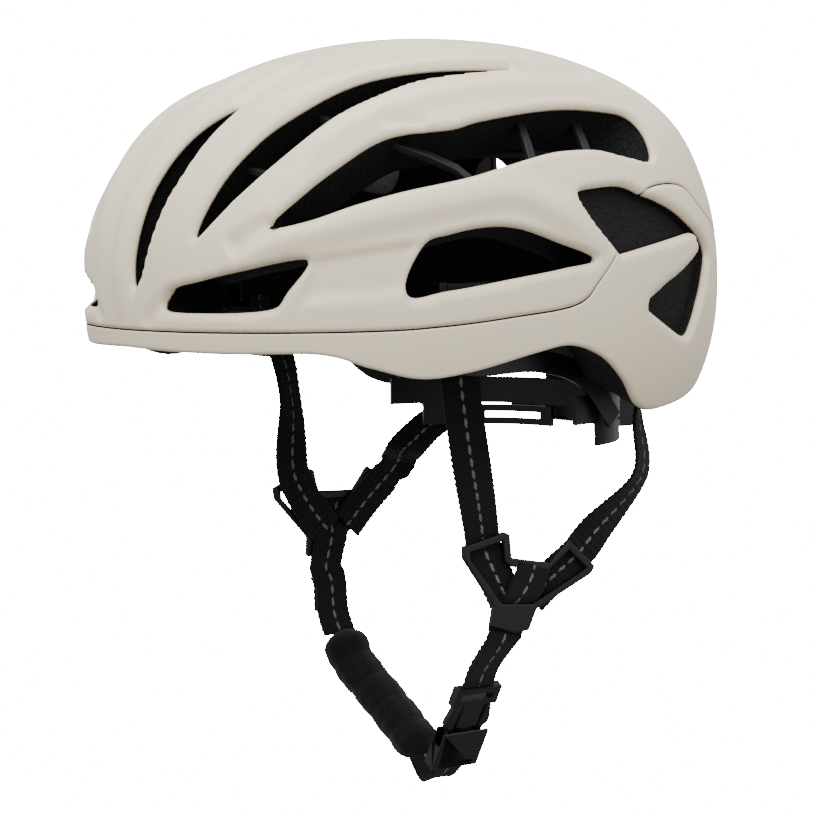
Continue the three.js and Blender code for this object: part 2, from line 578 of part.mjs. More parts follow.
function buildHarness() {
  const left = SPLITTERS.left_splitter;
  const right = SPLITTERS.right_splitter;
  const frontTo = (splitter) => [bySplitter(splitter, -22, 26, BEHIND), bySplitter(splitter, -20, 15, BEHIND),
    bySplitter(splitter, -15, 5, BEHIND)];
  const downFrom = (splitter) => [bySplitter(splitter, 0.5, 0, BEHIND), bySplitter(splitter, -4, -6, BEHIND),
    bySplitter(splitter, -8, -13, BEHIND), bySplitter(splitter, -11.5, -22, BEHIND)];
  webbing("left_front_strap", route(
    [...hangInFront("left_front_anchor"), [63.5, -21, -14, 69], [62, -15, -44, 69], ...frontTo(left)], 20));
  webbing("right_front_strap", route(
    [...hangInFront("right_front_anchor"), [-63.5, -21, -13, -69], [-61, -19, -34, -69],
      ...frontTo(right)], 20));
  webbing("left_rear_strap", route(
    [...hang("left_rear_anchor"), [62, 77, -38, 126], [65.5, 74.5, -60, 112],
      bySplitter(left, 35, 19, BEHIND), bySplitter(left, 26, 10, BEHIND),
      bySplitter(left, 15, 2, BEHIND)], 20));
  webbing("right_rear_strap", route(
    [...hang("right_rear_anchor"), [-66, 70, -42, -116], [-71.5, 62, -52, -98],
      [-68, 47, -59, -89], bySplitter(right, 35, 14, BEHIND), bySplitter(right, 27, 9, BEHIND),
      bySplitter(right, 15, 2, BEHIND)], 20));
  const leftLower = route([...downFrom(left), [48, 9.5, -134, 86], byBuckle(0, 0, PLATE_TOP - 8),
    byBuckle(0, 0, PLATE_TOP - 2 * CLEARANCE)], 14);
  const rightLower = route([...downFrom(right), [-53, -4, -112, -92], [-49.5, -5.5, -125, -92],
    [-44.5, -5.3, -134.5, -90]], 14);
  webbing("left_lower_strap", leftLower);
  webbing("right_lower_strap", rightLower);
  webbing("left_strap_tail", layerOn(leftLower.slice(7, 12), 1));
  webbing("right_strap_tail", layerOn(rightLower.slice(8, 12), -1));
  const chinStops = [[-44, -5.2, -136.2, 90], [-36, -3.4, -147, 90], [-22, -0.6, -158.5, 90],
    [-6, 1.6, -170.5, 90], [5, 2.8, -178, 90]];
  add("chin_pad", sweep(route(chinStops, 12), oval(CHIN_PAD_WIDTH, CHIN_PAD_WALL, 12)), BLACK_FABRIC, 0.95);
  webbing("chin_loop", route(
    [byBuckle(0, 0, SOCKET_LENGTH + 2 * CLEARANCE), byBuckle(0, -0.6, SOCKET_LENGTH + 4),
    [13, 4.6, -190.5, 90], [8, 3.4, -184.5, 90], [5.8, 3, -179.4, 90]], 10));
}

// ---- fit cradle round the back of the head ----
const CRADLE_POWER = 2.6;
const TAB_LOW = -11.5;           // tab's middle below the cradle's middle
const TAB_HEIGHT = 9;
const TAB_SLOT = 3;
const STRIP_FRONT = CRADLE_BACK + CRADLE_WALL + 0.4;
const HOUSING_FRONT = STRIP_FRONT + STRIP_WALL + 0.4;
const HOUSING_BACK = HOUSING_FRONT + HOUSING_DEPTH;

// The middle of the band at a turn, raised by up and pushed out by away.
function onCradle(turn, up, away = 0) {
  const back = Math.abs(Math.cos(degrees(turn))) / (CRADLE_BACK + CRADLE_WALL / 2);
  const side = Math.abs(Math.sin(degrees(turn))) / (CRADLE_SIDE + CRADLE_WALL / 2);
  const reach = (back ** CRADLE_POWER + side ** CRADLE_POWER) ** (-1 / CRADLE_POWER);
  return facing(turn).multiplyScalar(reach + away).setZ(CRADLE_LEVEL + up);
}

function cradlePath(fromTurn, toTurn, steps, up) {
  return Array.from({ length: steps + 1 }, (_, i) => ({
    at: onCradle(fromTurn + ((toTurn - fromTurn) * i) / steps, up), side: UPWARD,
  }));
}

function buildCradle() {
  const band = solid(sweep(cradlePath(121, 239, 30, 0), rectangle(CRADLE_HEIGHT, CRADLE_WALL)));
  const pieces = [band];
  for (const side of [1, -1]) {
    const turns = side > 0 ? [132, 171, 12] : [-171, -132, 12];
    const bridge = side > 0 ? [132, 146, 4] : [-146, -132, 4];
    const slot = side > 0 ? [150, 167, 6] : [-167, -150, 6];
    const tab = solid(sweep(cradlePath(...turns, TAB_LOW), rectangle(TAB_HEIGHT, CRADLE_WALL)));
    const link = solid(sweep(cradlePath(...bridge, TAB_LOW / 2), rectangle(-TAB_LOW, CRADLE_WALL)));
    const gap = solid(sweep(cradlePath(...slot, TAB_LOW), rectangle(TAB_SLOT, CRADLE_WALL * 4)));
    pieces.push(tab.subtract(gap), link);
    const guideDeep = HOUSING_FRONT - CLEARANCE - CRADLE_BACK - CRADLE_WALL / 2;
    pieces.push(block(4, guideDeep, CRADLE_HEIGHT - 2, side * (STRIP_WIDTH / 2 + 2 + 2 * CLEARANCE),
      HOUSING_FRONT - CLEARANCE - guideDeep / 2, CRADLE_LEVEL));
  }
  add("cradle", shape(join(pieces)), BLACK_PLASTIC, 0.5);
}

// ---- dial housing, racks, pinion and knob ----
const PITCH_RADIUS = (PINION_TEETH * TOOTH_MODULE) / 2;
const PRESSURE = degrees(25);
const ADDENDUM = 0.85 * TOOTH_MODULE;
const DEDENDUM = 1.15 * TOOTH_MODULE;
const BACKLASH = 0.2;
const RACK_FRONT = HOUSING_FRONT + 3.2;
const SHAFT_RADIUS = 2.5;
const RACK_END = 13.5;          // toothed end past the centre line
const RACK_REACH = 36;          // straight length on its own side, so the bend stays outside the housing
const TAIL_LENGTH = 14;
const TAIL_TURN = 25;

function rackOutline() {
  const pitch = Math.PI * TOOTH_MODULE;
  const slope = Math.tan(PRESSURE);
  const half = pitch / 4 - BACKLASH / 2;
  const points = [[-RACK_END, DEDENDUM]];
  for (let k = -4; k <= 5; k += 1) {
    const x = (k + 0.5) * pitch;
    points.push([x - half - DEDENDUM * slope, DEDENDUM], [x - half + ADDENDUM * slope, -ADDENDUM],
      [x + half - ADDENDUM * slope, -ADDENDUM], [x + half + DEDENDUM * slope, DEDENDUM]);
  }
  const top = DEDENDUM + RACK_HEIGHT;
  points.push([RACK_REACH, DEDENDUM], [RACK_REACH, top], [-RACK_END, top]);
  return points;
}

// side 1 is the rider's left rack, above the pinion. side -1 is the right one, below it.
function rack(side) {
  const flat = new THREE.Shape(rackOutline()
    .map(([x, z]) => new THREE.Vector2(side * x, side * (z + PITCH_RADIUS))));
  const bar = new THREE.ExtrudeGeometry(flat, { depth: RACK_WALL, bevelEnabled: false });
  bar.rotateX(Math.PI / 2).translate(0, RACK_FRONT + RACK_WALL, CRADLE_LEVEL);
  const tail = new THREE.BoxGeometry(TAIL_LENGTH, RACK_WALL, RACK_HEIGHT);
  tail.translate(TAIL_LENGTH / 2 - 1, 0, 0).rotateZ(degrees(-TAIL_TURN));
  if (side < 0) tail.rotateZ(degrees(180 + 2 * TAIL_TURN));
  tail.translate(side * RACK_REACH, RACK_FRONT + RACK_WALL / 2,
    CRADLE_LEVEL + side * (PITCH_RADIUS + DEDENDUM + RACK_HEIGHT / 2));
  return join([solid(bar), solid(tail)]);
}

function pinionOutline() {
  const base = PITCH_RADIUS * Math.cos(PRESSURE);
  const root = PITCH_RADIUS - DEDENDUM;
  const tip = PITCH_RADIUS + ADDENDUM;
  const involute = (radius) => {
    const angle = Math.acos(Math.min(1, base / radius));
    return Math.tan(angle) - angle;
  };
  const halfAt = (radius) => Math.PI / PINION_TEETH / 2 - BACKLASH / 2 / PITCH_RADIUS
    + involute(PITCH_RADIUS) - involute(Math.max(radius, base));
  const radii = [root, base, (base + PITCH_RADIUS) / 2, PITCH_RADIUS, (PITCH_RADIUS + tip) / 2, tip];
  const polar = (radius, angle) => new THREE.Vector2(radius * Math.cos(angle), radius * Math.sin(angle));
  const points = [];
  for (let k = 0; k < PINION_TEETH; k += 1) {
    const middle = Math.PI / 2 + (2 * Math.PI * k) / PINION_TEETH;
    radii.forEach((r) => points.push(polar(r, middle - halfAt(r))));
    radii.slice().reverse().forEach((r) => points.push(polar(r, middle + halfAt(r))));
  }
  return points;
}

const rod = (radius, from, to) => solid(new THREE.CylinderGeometry(radius, radius, to - from, 24)
  .translate(0, (from + to) / 2, CRADLE_LEVEL));

function buildDial() {
  const toothed = new THREE.Shape(pinionOutline());
  const gear = new THREE.ExtrudeGeometry(toothed, { depth: RACK_WALL, bevelEnabled: false });
  gear.rotateX(Math.PI / 2).translate(0, RACK_FRONT + RACK_WALL, CRADLE_LEVEL);
  const upper = rod(SHAFT_RADIUS, RACK_FRONT + RACK_WALL - 0.5, HOUSING_BACK + CLEARANCE + KNOB_DEPTH - 1);
  const stub = rod(SHAFT_RADIUS - 0.5, HOUSING_FRONT + 0.2, RACK_FRONT + 0.5);
  add("pinion", shape(join([solid(gear), upper, stub])), GREY_PLASTIC, 0.4);
  const lobes = 18;
  const grip = new THREE.Shape(Array.from({ length: lobes * 4 }, (_, i) => {
    const radius = KNOB_RADIUS - 0.55 + 0.55 * Math.cos((Math.PI * i) / 2);
    const angle = (2 * Math.PI * i) / (lobes * 4);
    return new THREE.Vector2(radius * Math.cos(angle), radius * Math.sin(angle));
  }));
  const hole = new THREE.Path().absarc(0, 0, SHAFT_RADIUS + CLEARANCE, 0, 2 * Math.PI, true);
  grip.holes.push(new THREE.Path(hole.getPoints(12).slice(0, -1)));
  const knob = new THREE.ExtrudeGeometry(grip, { depth: KNOB_DEPTH, bevelEnabled: false });
  knob.rotateX(Math.PI / 2).translate(0, HOUSING_BACK + CLEARANCE + KNOB_DEPTH, CRADLE_LEVEL);
  add("dial_knob", knob, BLACK_PLASTIC, 0.5);
}

function buildHousing() {
  const middle = (HOUSING_FRONT + HOUSING_BACK) / 2;
  const inside = HOUSING_WIDTH - 2 * HOUSING_WALL;
  const insideHigh = HOUSING_HEIGHT - 2 * HOUSING_WALL;
  const tray = block(HOUSING_WIDTH, HOUSING_DEPTH, HOUSING_HEIGHT, 0, middle, CRADLE_LEVEL);
  const room = block(inside, HOUSING_DEPTH, insideHigh, 0, middle - HOUSING_WALL, CRADLE_LEVEL);
  const gates = [1, -1].map((side) => block(8, RACK_WALL + 4 * CLEARANCE, RACK_HEIGHT + 3.4,
    side * HOUSING_WIDTH / 2, RACK_FRONT + RACK_WALL / 2,
    CRADLE_LEVEL + side * (PITCH_RADIUS + DEDENDUM + RACK_HEIGHT / 2 - 0.6)));
  const bearing = rod(SHAFT_RADIUS + CLEARANCE, middle, HOUSING_BACK + 1);
  add("dial_housing", shape(cut(tray, [room, ...gates, bearing])), BLACK_PLASTIC, 0.5);
  const coverWall = 1.4;
  const cover = block(inside - 2 * CLEARANCE, coverWall, insideHigh - 2 * CLEARANCE, 0,
    HOUSING_FRONT + coverWall / 2, CRADLE_LEVEL);
  const seat = rod(SHAFT_RADIUS - 0.5 + CLEARANCE, HOUSING_FRONT - 1, HOUSING_FRONT + 2);
  add("housing_cover", shape(cover.subtract(seat)), BLACK_PLASTIC, 0.5);
  add("left_rack", shape(rack(1)), GREY_PLASTIC, 0.4);
  add("right_rack", shape(rack(-1)), GREY_PLASTIC, 0.4);
}

// ---- height strip and its plate in the foam ----
const STRIP_BOTTOM = -42;
const PLATE_LEVEL = 18;         // middle of the strip's plate
const PLATE_WIDTH = 22;
const PLATE_HEIGHT = 15;
const PLATE_SEAT = 6.5;         // how deep the plate sits in the foam

function stripPlate(grow) {
  const front = STRIP_FRONT + STRIP_WALL + CLEARANCE;
  const deep = CAVITY.rear + PLATE_SEAT - front;
  return block(PLATE_WIDTH + 2 * grow, deep + 2 * grow, PLATE_HEIGHT + 2 * grow,
    0, front + deep / 2, PLATE_LEVEL);
}

function buildHeightStrip() {
  const top = PLATE_LEVEL + PLATE_HEIGHT / 2;
  const strip = block(STRIP_WIDTH, STRIP_WALL, top - STRIP_BOTTOM, 0, STRIP_FRONT + STRIP_WALL / 2,
    (top + STRIP_BOTTOM) / 2);
  const notches = Array.from({ length: 5 }, (_, i) => block(6, STRIP_WALL * 3, 2, 0,
    STRIP_FRONT + STRIP_WALL / 2, CRADLE_LEVEL + 16 + i * 5));
  add("height_strip", shape(cut(strip, notches)), GREY_PLASTIC);
  add("strip_plate", shape(stripPlate(0)), BLACK_PLASTIC);
}

// ---- temple bands and the studs that hold them to the foam ----
// A band's stops along the cavity as [turn, rise, in from the foam], then its end by the cradle as
// [turn, up, out from the band].
const TEMPLE_STOPS = [[53.5, -14.9, 3.7], [72.4, TEMPLE_RISE, TEMPLE_INWARD],
  [96, TEMPLE_RISE, TEMPLE_INWARD], [122, -26.9, 2.7]];
const TEMPLE_END = [133.6, -5, 6.1];
const STUD_INSET = 6;           // band's end to the stud's axis
const STUD_RADIUS = 2;
const STUD_HEAD = 4;
const STUD_HEAD_WALL = 1.4;
const STUD_LENGTH = 9;          // band to the stud's tip in the foam

function templeStations(side) {
  const stops = TEMPLE_STOPS.map(([turn, rise, inward]) => form(side * turn, rise, CAVITY)
    .addScaledVector(facing(side * turn), -inward));
  const [turn, up, out] = TEMPLE_END;
  const path = new THREE.CatmullRomCurve3([...stops, onCradle(side * turn, up, out)], false, "centripetal");
  return path.getPoints(16).map((at) => ({ at, side: UPWARD }));
}

// A stud's own axes: y into the foam, with the band's middle at 0.
function studPins(side, grow) {
  const [start, next] = templeStations(side);
  const along = next.at.clone().sub(start.at).setZ(0).normalize();
  const out = along.clone().cross(UPWARD).multiplyScalar(side);
  const aim = new THREE.Matrix4().makeBasis(along.clone().multiplyScalar(-side), out, UPWARD)
    .setPosition(start.at.clone().addScaledVector(along, STUD_INSET));
  const round = (radius, from, to) => solid(new THREE.CylinderGeometry(
    radius + grow, radius + grow, to - from, 20).translate(0, (from + to) / 2, 0).applyMatrix4(aim));
  const face = -TEMPLE_WALL / 2 - CLEARANCE;
  return {
    head: round(STUD_HEAD, face - STUD_HEAD_WALL, face),
    pin: round(STUD_RADIUS, face - STUD_HEAD_WALL / 2, STUD_LENGTH + grow),
  };
}

function buildTempleBands() {
  for (const [name, side] of [["left", 1], ["right", -1]]) {
    const { head, pin } = studPins(side, 0);
    const { pin: bore } = studPins(side, CLEARANCE);
    const band = solid(sweep(templeStations(side), rectangle(TEMPLE_HEIGHT, TEMPLE_WALL)));
    add(`${name}_temple_band`, shape(band.subtract(bore)), BLACK_PLASTIC, 0.5);
    add(`${name}_band_stud`, shape(join([head, pin])), BLACK_PLASTIC, 0.5);
  }
}

// ---- the whole helmet ----
const pockets = [
  ...Object.values(ANCHORS).map((place) => solid(anchorBlock(place, CLEARANCE))),
  stripPlate(CLEARANCE),
  studPins(1, CLEARANCE).pin,
  studPins(-1, CLEARANCE).pin,
];

buildLiner(pockets);
buildShells();
buildArches();
buildPads();
buildAnchors();
buildHarness();
buildSplitters();
buildBuckle();
buildCradle();
buildHousing();
buildDial();
buildHeightStrip();
buildTempleBands();

export default helmet;
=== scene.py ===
# %% [markdown]
# # A road cycling helmet in satin cream
#
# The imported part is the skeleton: every piece below rides on one of its bodies. The shells, the foam
# and the soft goods are modelled again here with the detail that a drawing office leaves out, and the
# hard black plastics are finished from their own solids.

import json
import math

import bmesh
import bpy
import numpy as np
from mathutils import Matrix, Vector, kdtree


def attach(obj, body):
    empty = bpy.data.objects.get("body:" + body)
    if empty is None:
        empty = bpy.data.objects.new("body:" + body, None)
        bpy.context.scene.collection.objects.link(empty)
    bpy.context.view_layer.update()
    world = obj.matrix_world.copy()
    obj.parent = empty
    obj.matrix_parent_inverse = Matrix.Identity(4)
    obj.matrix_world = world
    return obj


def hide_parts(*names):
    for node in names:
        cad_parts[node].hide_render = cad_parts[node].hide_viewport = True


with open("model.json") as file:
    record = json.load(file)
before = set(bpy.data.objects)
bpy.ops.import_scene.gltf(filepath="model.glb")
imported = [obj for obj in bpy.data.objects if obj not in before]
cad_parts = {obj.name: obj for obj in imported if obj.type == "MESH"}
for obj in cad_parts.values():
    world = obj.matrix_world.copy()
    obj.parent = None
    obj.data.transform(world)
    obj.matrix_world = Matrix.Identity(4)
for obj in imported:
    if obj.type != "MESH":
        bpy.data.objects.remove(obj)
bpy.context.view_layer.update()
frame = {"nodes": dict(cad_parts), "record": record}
MM = 0.001

# %% [markdown]
# ## The form
#
# A helmet is drawn as one smooth form, then cut. A point on it has a turn, 0 at the brow, 90 at the
# rider's left and 180 at the back, and a rise, 0 at the widest level and 90 at the crown. The formula
# is the same as the solid part's, so the fine surfaces land on the coarse ones.

# %% Form of the helmet
HALF_WIDTH, FRONT_LENGTH, REAR_LENGTH, CROWN_HEIGHT = 106.0, 140.0, 143.0, 104.0
WIDEST_LEVEL, CROWN_SETBACK = 22.0, 11.0
PLAN_POWER, ARCH_POWER = 2.3, 2.25
OUTER = (0.0, 0.0, 0.0)
CAVITY = (24.0, 31.0, 27.0)     # foam thickness at the sides, at the ends and at the crown


def form(turn, rise, inset=OUTER):
    turn, rise = np.radians(turn), np.radians(rise)
    along, across, lift = np.cos(turn), np.sin(turn), np.sin(rise)
    side, ends, crown = inset
    length = np.where(along > 0, FRONT_LENGTH, REAR_LENGTH) - ends
    reach = ((np.abs(along) / length) ** PLAN_POWER
             + (np.abs(across) / (HALF_WIDTH - side)) ** PLAN_POWER) ** (-1 / PLAN_POWER)
    radius = reach * np.maximum(np.cos(rise), 0) ** (2 / ARCH_POWER)
    height = (CROWN_HEIGHT - crown) * np.sign(lift) * np.abs(lift) ** (2 / ARCH_POWER)
    back = CROWN_SETBACK * np.maximum(lift, 0) ** 2
    return np.stack([radius * across, back - radius * along, WIDEST_LEVEL + height], -1)


def form_normal(turn, rise):
    step = 0.2
    rise = np.clip(rise, -80, 89)
    round_way = form(turn + step, rise) - form(turn - step, rise)
    up_way = form(turn, rise + step) - form(turn, rise - step)
    out = np.cross(round_way, up_way)
    return out / np.linalg.norm(out, axis=-1, keepdims=True)


print("brow point", form(0.0, 0.0))

# %% [markdown]
# ## Levels and outlines
#
# The brim and the seam between the two shells are levels that rise and fall with the turn. The vents
# are closed outlines. A Catmull-Rom curve through a few chosen points draws them all.


# %% Curves through chosen points
def curve_through(points, steps, closed=False):
    points = np.array(points, float)
    count = len(points)
    spans = count if closed else count - 1
    pick = (lambda i: points[i % count]) if closed else (lambda i: points[min(max(i, 0), count - 1)])
    out = []
    for i in range(spans):
        a, b, c, d = pick(i - 1), pick(i), pick(i + 1), pick(i + 2)
        for s in range(steps):
            t = s / steps
            out.append(0.5 * ((2 * b) + (c - a) * t + (2 * a - 5 * b + 4 * c - d) * t * t
                              + (3 * b - a - 3 * c + d) * t ** 3))
    if not closed:
        out.append(points[-1])
    return np.array(out)


RIM = curve_through([[0, -9.5], [22, -10], [38, -10], [47, -13], [56, -15.5], [66, -14.5], [82, -11],
                     [92, -9.8], [101, -12.5], [109, -18], [117, -25], [126, -27.5], [138, -26],
                     [155, -22], [180, -20]], 12)
SEAM = curve_through([[0, -5.8], [45, -5.5], [60, -4.9], [76, -3.6], [92, -2], [99, 1.5], [106, 8],
                      [113, 17], [119, 20.5], [130, 20.5], [138, 15], [150, 9], [165, 7], [180, 6.5]], 12)


def level(line, turn):
    return np.interp(np.abs(turn), line[:, 0], line[:, 1])


VENTS = {
    "crown_slot": [[3.5, 1], [2.9, 5], [3.1, 13], [3.6, 23], [5.2, 33], [8.5, 40], [12.8, 43],
                   [12.6, 34], [11.2, 24], [9, 15.5], [7.4, 9], [5.6, 3]],
    "upper_slot": [[17, 10.5], [19, 21], [22, 30], [26, 38], [35, 48.5], [47, 54], [65, 57],
                   [92, 58], [77, 56], [61, 53.5], [50, 50], [38, 41], [31, 31], [22.5, 18]],
    "side_vent": [[30, 12.6], [35, 20], [40, 26], [46, 32], [52, 34.5], [63, 36], [71, 38.5],
                  [88, 41.5], [102, 42.5], [114, 41.5], [122, 39.5], [124.5, 34], [122, 27],
                  [113, 28.3], [105, 30], [96, 30], [88, 29], [76, 26], [66, 23], [53, 20],
                  [44, 17], [36, 13.5]],
    "brow_vent": [[10.8, -2], [13, 1], [18, 2.3], [25, 4], [36.5, 6.2], [33, 0.2], [30, -1.8],
                  [20, -2.4]],
    "temple_vent": [[53.4, 0.4], [56.7, 8.7], [62, 10.8], [70, 12.2], [78, 11.8], [88, 8.9],
                    [98.6, 5.3], [90, 3.8], [76, 2.2], [62, 0.6]],
    "rear_port_inner": [[176, 20], [176, 42], [172, 50], [164.5, 47], [162, 36], [164, 20]],
    "rear_port_outer": [[157, 17], [156.5, 34], [153, 41], [148, 36], [147, 24], [150, 17]],
}
REAR_RECESS = [[95, 18.8], [96, 19.8], [98.3, 20.3], [106.3, 21], [111, 20.5], [114.8, 19], [120, 17.5],
               [125.8, 15.2], [131.3, 12.2], [136.5, 8.8], [139, 5.2], [137.2, 1.2], [134.3, -3],
               [132, -7.5], [130.8, -9.3], [128.8, -9.7], [124.5, -8.2], [115.6, -4], [114.4, -3],
               [115.2, -1.7], [120.5, 0.3], [125.8, 2], [132.5, 5], [134, 6.8], [133.2, 9.2],
               [131.3, 10], [124, 9], [107.5, 6.3], [106, 6], [105.3, 6.6], [103.5, 8.3], [99.3, 12],
               [96.3, 15.8]]
outlines = {name: curve_through(points, 9, closed=True) for name, points in VENTS.items()}
outlines["rear_recess"] = curve_through(REAR_RECESS, 7, closed=True)
# The crown slot is cut on the rider's left only, and its twin's place is plain shell.
on_side = {1: outlines, -1: {name: loop for name, loop in outlines.items() if name != "crown_slot"}}


def inside(outline, turn, rise):
    crossed = np.zeros(len(turn), bool)
    for a, b in zip(outline, np.roll(outline, -1, axis=0)):
        spans = (a[1] > rise) != (b[1] > rise)
        with np.errstate(divide="ignore", invalid="ignore"):
            at = a[0] + (rise - a[1]) * (b[0] - a[0]) / (b[1] - a[1])
        crossed ^= spans & (turn < at)
    return crossed


print("outlines", {name: len(loop) for name, loop in outlines.items()})

# %% [markdown]
# ## Sculpted relief
#
# Between the vents the shell isn't smooth: ribs stand proud, a character line runs along the side, and
# creases lead into the vents. Each is a line on the form with a height and a width on either side, so
# that a sharp side reads as a crease and a long side fades into the form.

# %% Relief lines: points, height in mm, reach above and below in mm
RELIEF_LINES = [
    ([[22, 6], [34.8, 10.5], [51.3, 15.2], [73, 19.2], [86.5, 15.8], [100.5, 6.2]], 2.6, 13, 9),
    ([[8, 3], [10, 18], [14.5, 32], [23, 44], [36, 53], [60, 60], [95, 62], [130, 58]], 1.8, 12, 12),
    ([[30, 21], [36, 31], [44, 38.8], [57, 45.5], [80, 49.5], [108, 50], [135, 44]], 2.0, 11, 9),
    ([[25.5, 8], [28, 18], [31, 24]], 0.9, 9, 8),
    ([[11.5, 43], [15, 60]], -2.2, 6, 6),
    ([[92, 58], [129.5, 55]], -1.8, 8, 6),
    ([[23.5, 8], [31, 13.4]], -3.0, 7, 7),
    ([[13, 1.2], [6.5, -4.5]], -1.4, 6, 5),
    ([[45, 37.8], [57, 36.5]], -1.2, 6, 4),
    ([[0, -4], [0, 25], [0, 60]], 2.0, 9, 9),
]
LINE_FADE = 0.16                # share of a line, at either end, over which it fades
HAUNCH_AT, HAUNCH_SPREAD, HAUNCH_HEIGHT = (136, 38), (26, 17), 3.2      # fuller behind the side vent
BROW_STEP = np.array([[37, 6.8], [48, 8.8], [56.3, 10], [52.8, 0], [43.3, -0.5], [35.2, -1]])
STEP_RAMP, STEP_DEPTH = 1.2, 2.0        # degrees over which the step falls, and mm that it falls


def line_relief(points3, turn, rise, line, height, above, below):
    fine = curve_through(line, 8)
    place = form(fine[:, 0], fine[:, 1])
    nearest = np.full(len(points3), 1e9)
    share = np.zeros(len(points3))
    over = np.zeros(len(points3), bool)
    for i in range(len(place) - 1):
        a, b = place[i], place[i + 1]
        along = b - a
        t = np.clip(((points3 - a) @ along) / (along @ along), 0, 1)
        gap = np.linalg.norm(points3 - a - t[:, None] * along, axis=1)
        closer = gap < nearest
        nearest = np.where(closer, gap, nearest)
        share = np.where(closer, (i + t) / (len(place) - 1), share)
        d_turn, d_rise = fine[i + 1] - fine[i]
        side = d_turn * (rise - fine[i, 1]) - d_rise * (turn - fine[i, 0]) > 0
        over = np.where(closer, side, over)
    reach = np.where(over, above, below)
    fade = np.clip(1 - nearest / reach, 0, 1)
    ends = np.clip(np.minimum(share, 1 - share) / LINE_FADE, 0, 1)
    return height * ends * fade * fade * (3 - 2 * fade)


# %% All the relief together
def depth_inside(outline, turn, rise):
    """How far inside an outline a point is, in degrees, 0 outside."""
    near = np.full(len(turn), 1e9)
    for a, b in zip(outline, np.roll(outline, -1, axis=0)):
        d = b - a
        t = np.clip(((turn - a[0]) * d[0] + (rise - a[1]) * d[1]) / (d @ d), 0, 1)
        near = np.minimum(near, np.hypot(turn - a[0] - t * d[0], rise - a[1] - t * d[1]))
    return np.where(inside(outline, turn, rise), near, 0)


def relief(turn, rise):
    turn = np.abs(turn)
    points3 = form(turn, rise)
    total = np.zeros(len(turn))
    for line, height, above, below in RELIEF_LINES:
        total += line_relief(points3, turn, rise, line, height, above, below)
    (mid_turn, mid_rise), (wide, tall) = HAUNCH_AT, HAUNCH_SPREAD
    total += HAUNCH_HEIGHT * np.exp(-((turn - mid_turn) / wide) ** 2 - ((rise - mid_rise) / tall) ** 2)
    total -= STEP_DEPTH * np.clip(depth_inside(BROW_STEP, turn, rise) / STEP_RAMP, 0, 1)
    return total


print("relief lines", len(RELIEF_LINES))

# %% [markdown]
# ## Two thin shells
#
# The shells are polycarbonate sheet, vacuum formed over the foam, and their edges roll into the vents.
# A flat grid from one operator is bent onto the form, faces inside the vents are taken out, and the
# edge vertices are pulled onto the outline. Each half is made alike, and the right one is turned over.

# %% Grid on the form
LIP, SEAM_LIP = 2.0, 0.9        # mm, how far an edge rolls in
SHELL_WALL = 1.0
EDGE_DEPTH = 1.0                # mm, wall below a rolled edge
COLUMNS = 300
STEPS_TO_NEAREST = 6            # finer steps on an outline, for the search for its nearest point
RELAX_ROUNDS, RELAX_NEAR = 4, 4.0       # passes, and mm from a vent
ON_MIDDLE, MIDDLE_WELD, WELD = 0.4, 0.2, 0.12   # mm, what counts as the middle plane and as one place


def chart_grid(columns, row_count, rows_at):
    bm = bmesh.new()
    bmesh.ops.create_grid(bm, x_segments=columns, y_segments=row_count, size=0.5)
    spots = np.array([v.co[:] for v in bm.verts])
    turn = 180 * (spots[:, 0] + 0.5)
    return bm, turn, rows_at(turn, spots[:, 1] + 0.5)


# %% Nearest places on the outlines
def tree_of(lines):
    """A search tree of the places along some outlines, and their turns and rises."""
    stops = np.concatenate([form(line[:, 0], line[:, 1]) for line in lines])
    flat = np.concatenate(lines)
    tree = kdtree.KDTree(len(stops))
    for i, stop in enumerate(stops):
        tree.insert(stop, i)
    tree.balance()
    return tree, flat


def finer(loop):
    after = np.roll(loop, -1, axis=0)
    return np.concatenate([loop + (after - loop) * s / STEPS_TO_NEAREST for s in range(STEPS_TO_NEAREST)])


vent_trees = {side: tree_of([finer(loop) for loop in loops.values()])
              for side, loops in on_side.items()}
turns = np.arange(0, 181, 0.2)
seam_tree, _ = tree_of([np.stack([turns, level(SEAM, turns)], 1)])
rim_tree, _ = tree_of([np.stack([turns, level(RIM, turns)], 1)])


def gaps(tree, points3):
    return np.array([tree.find(p)[2] for p in points3])


def rolled(gap, radius):
    """How far a rolled edge has sunk, at a gap from its outline."""
    inner = np.clip(radius - gap, 0, radius)
    return radius - np.sqrt(np.maximum(radius ** 2 - inner ** 2, 0))


print("places beside vents", {side: len(flat) for side, (_, flat) in vent_trees.items()})


# %% Half a shell, with its vents cut
def shell_half(row_count, rows_at, side):
    """The grid without its vents. Each vertex keeps its number, by which turn and rise are found."""
    bm, turn, rise = chart_grid(COLUMNS, row_count, rows_at)
    corners = [[v.index for v in f.verts] for f in bm.faces]
    middles = np.array([[np.mean(turn[c]), np.mean(rise[c])] for c in corners])
    gone = np.zeros(len(middles), bool)
    for loop in on_side[side].values():
        gone |= inside(loop, middles[:, 0], middles[:, 1])
    faces = [f for f, out in zip(list(bm.faces), gone) if out]
    cut_edge = {v.index for f in faces for v in f.verts}
    index_layer = bm.verts.layers.int.new("spot")
    for v in bm.verts:
        v[index_layer] = v.index
    bmesh.ops.delete(bm, geom=faces, context="FACES")
    edge_spots = set()
    vent_tree, vent_flat = vent_trees[side]
    for v in bm.verts:
        spot = v[index_layer]
        if spot in cut_edge:
            _, nearest, _ = vent_tree.find(form(turn[spot], rise[spot]))
            turn[spot], rise[spot] = vent_flat[nearest]
            edge_spots.add(spot)
    relax(bm, index_layer, turn, rise, edge_spots, vent_tree)
    return bm, index_layer, turn, rise, edge_spots


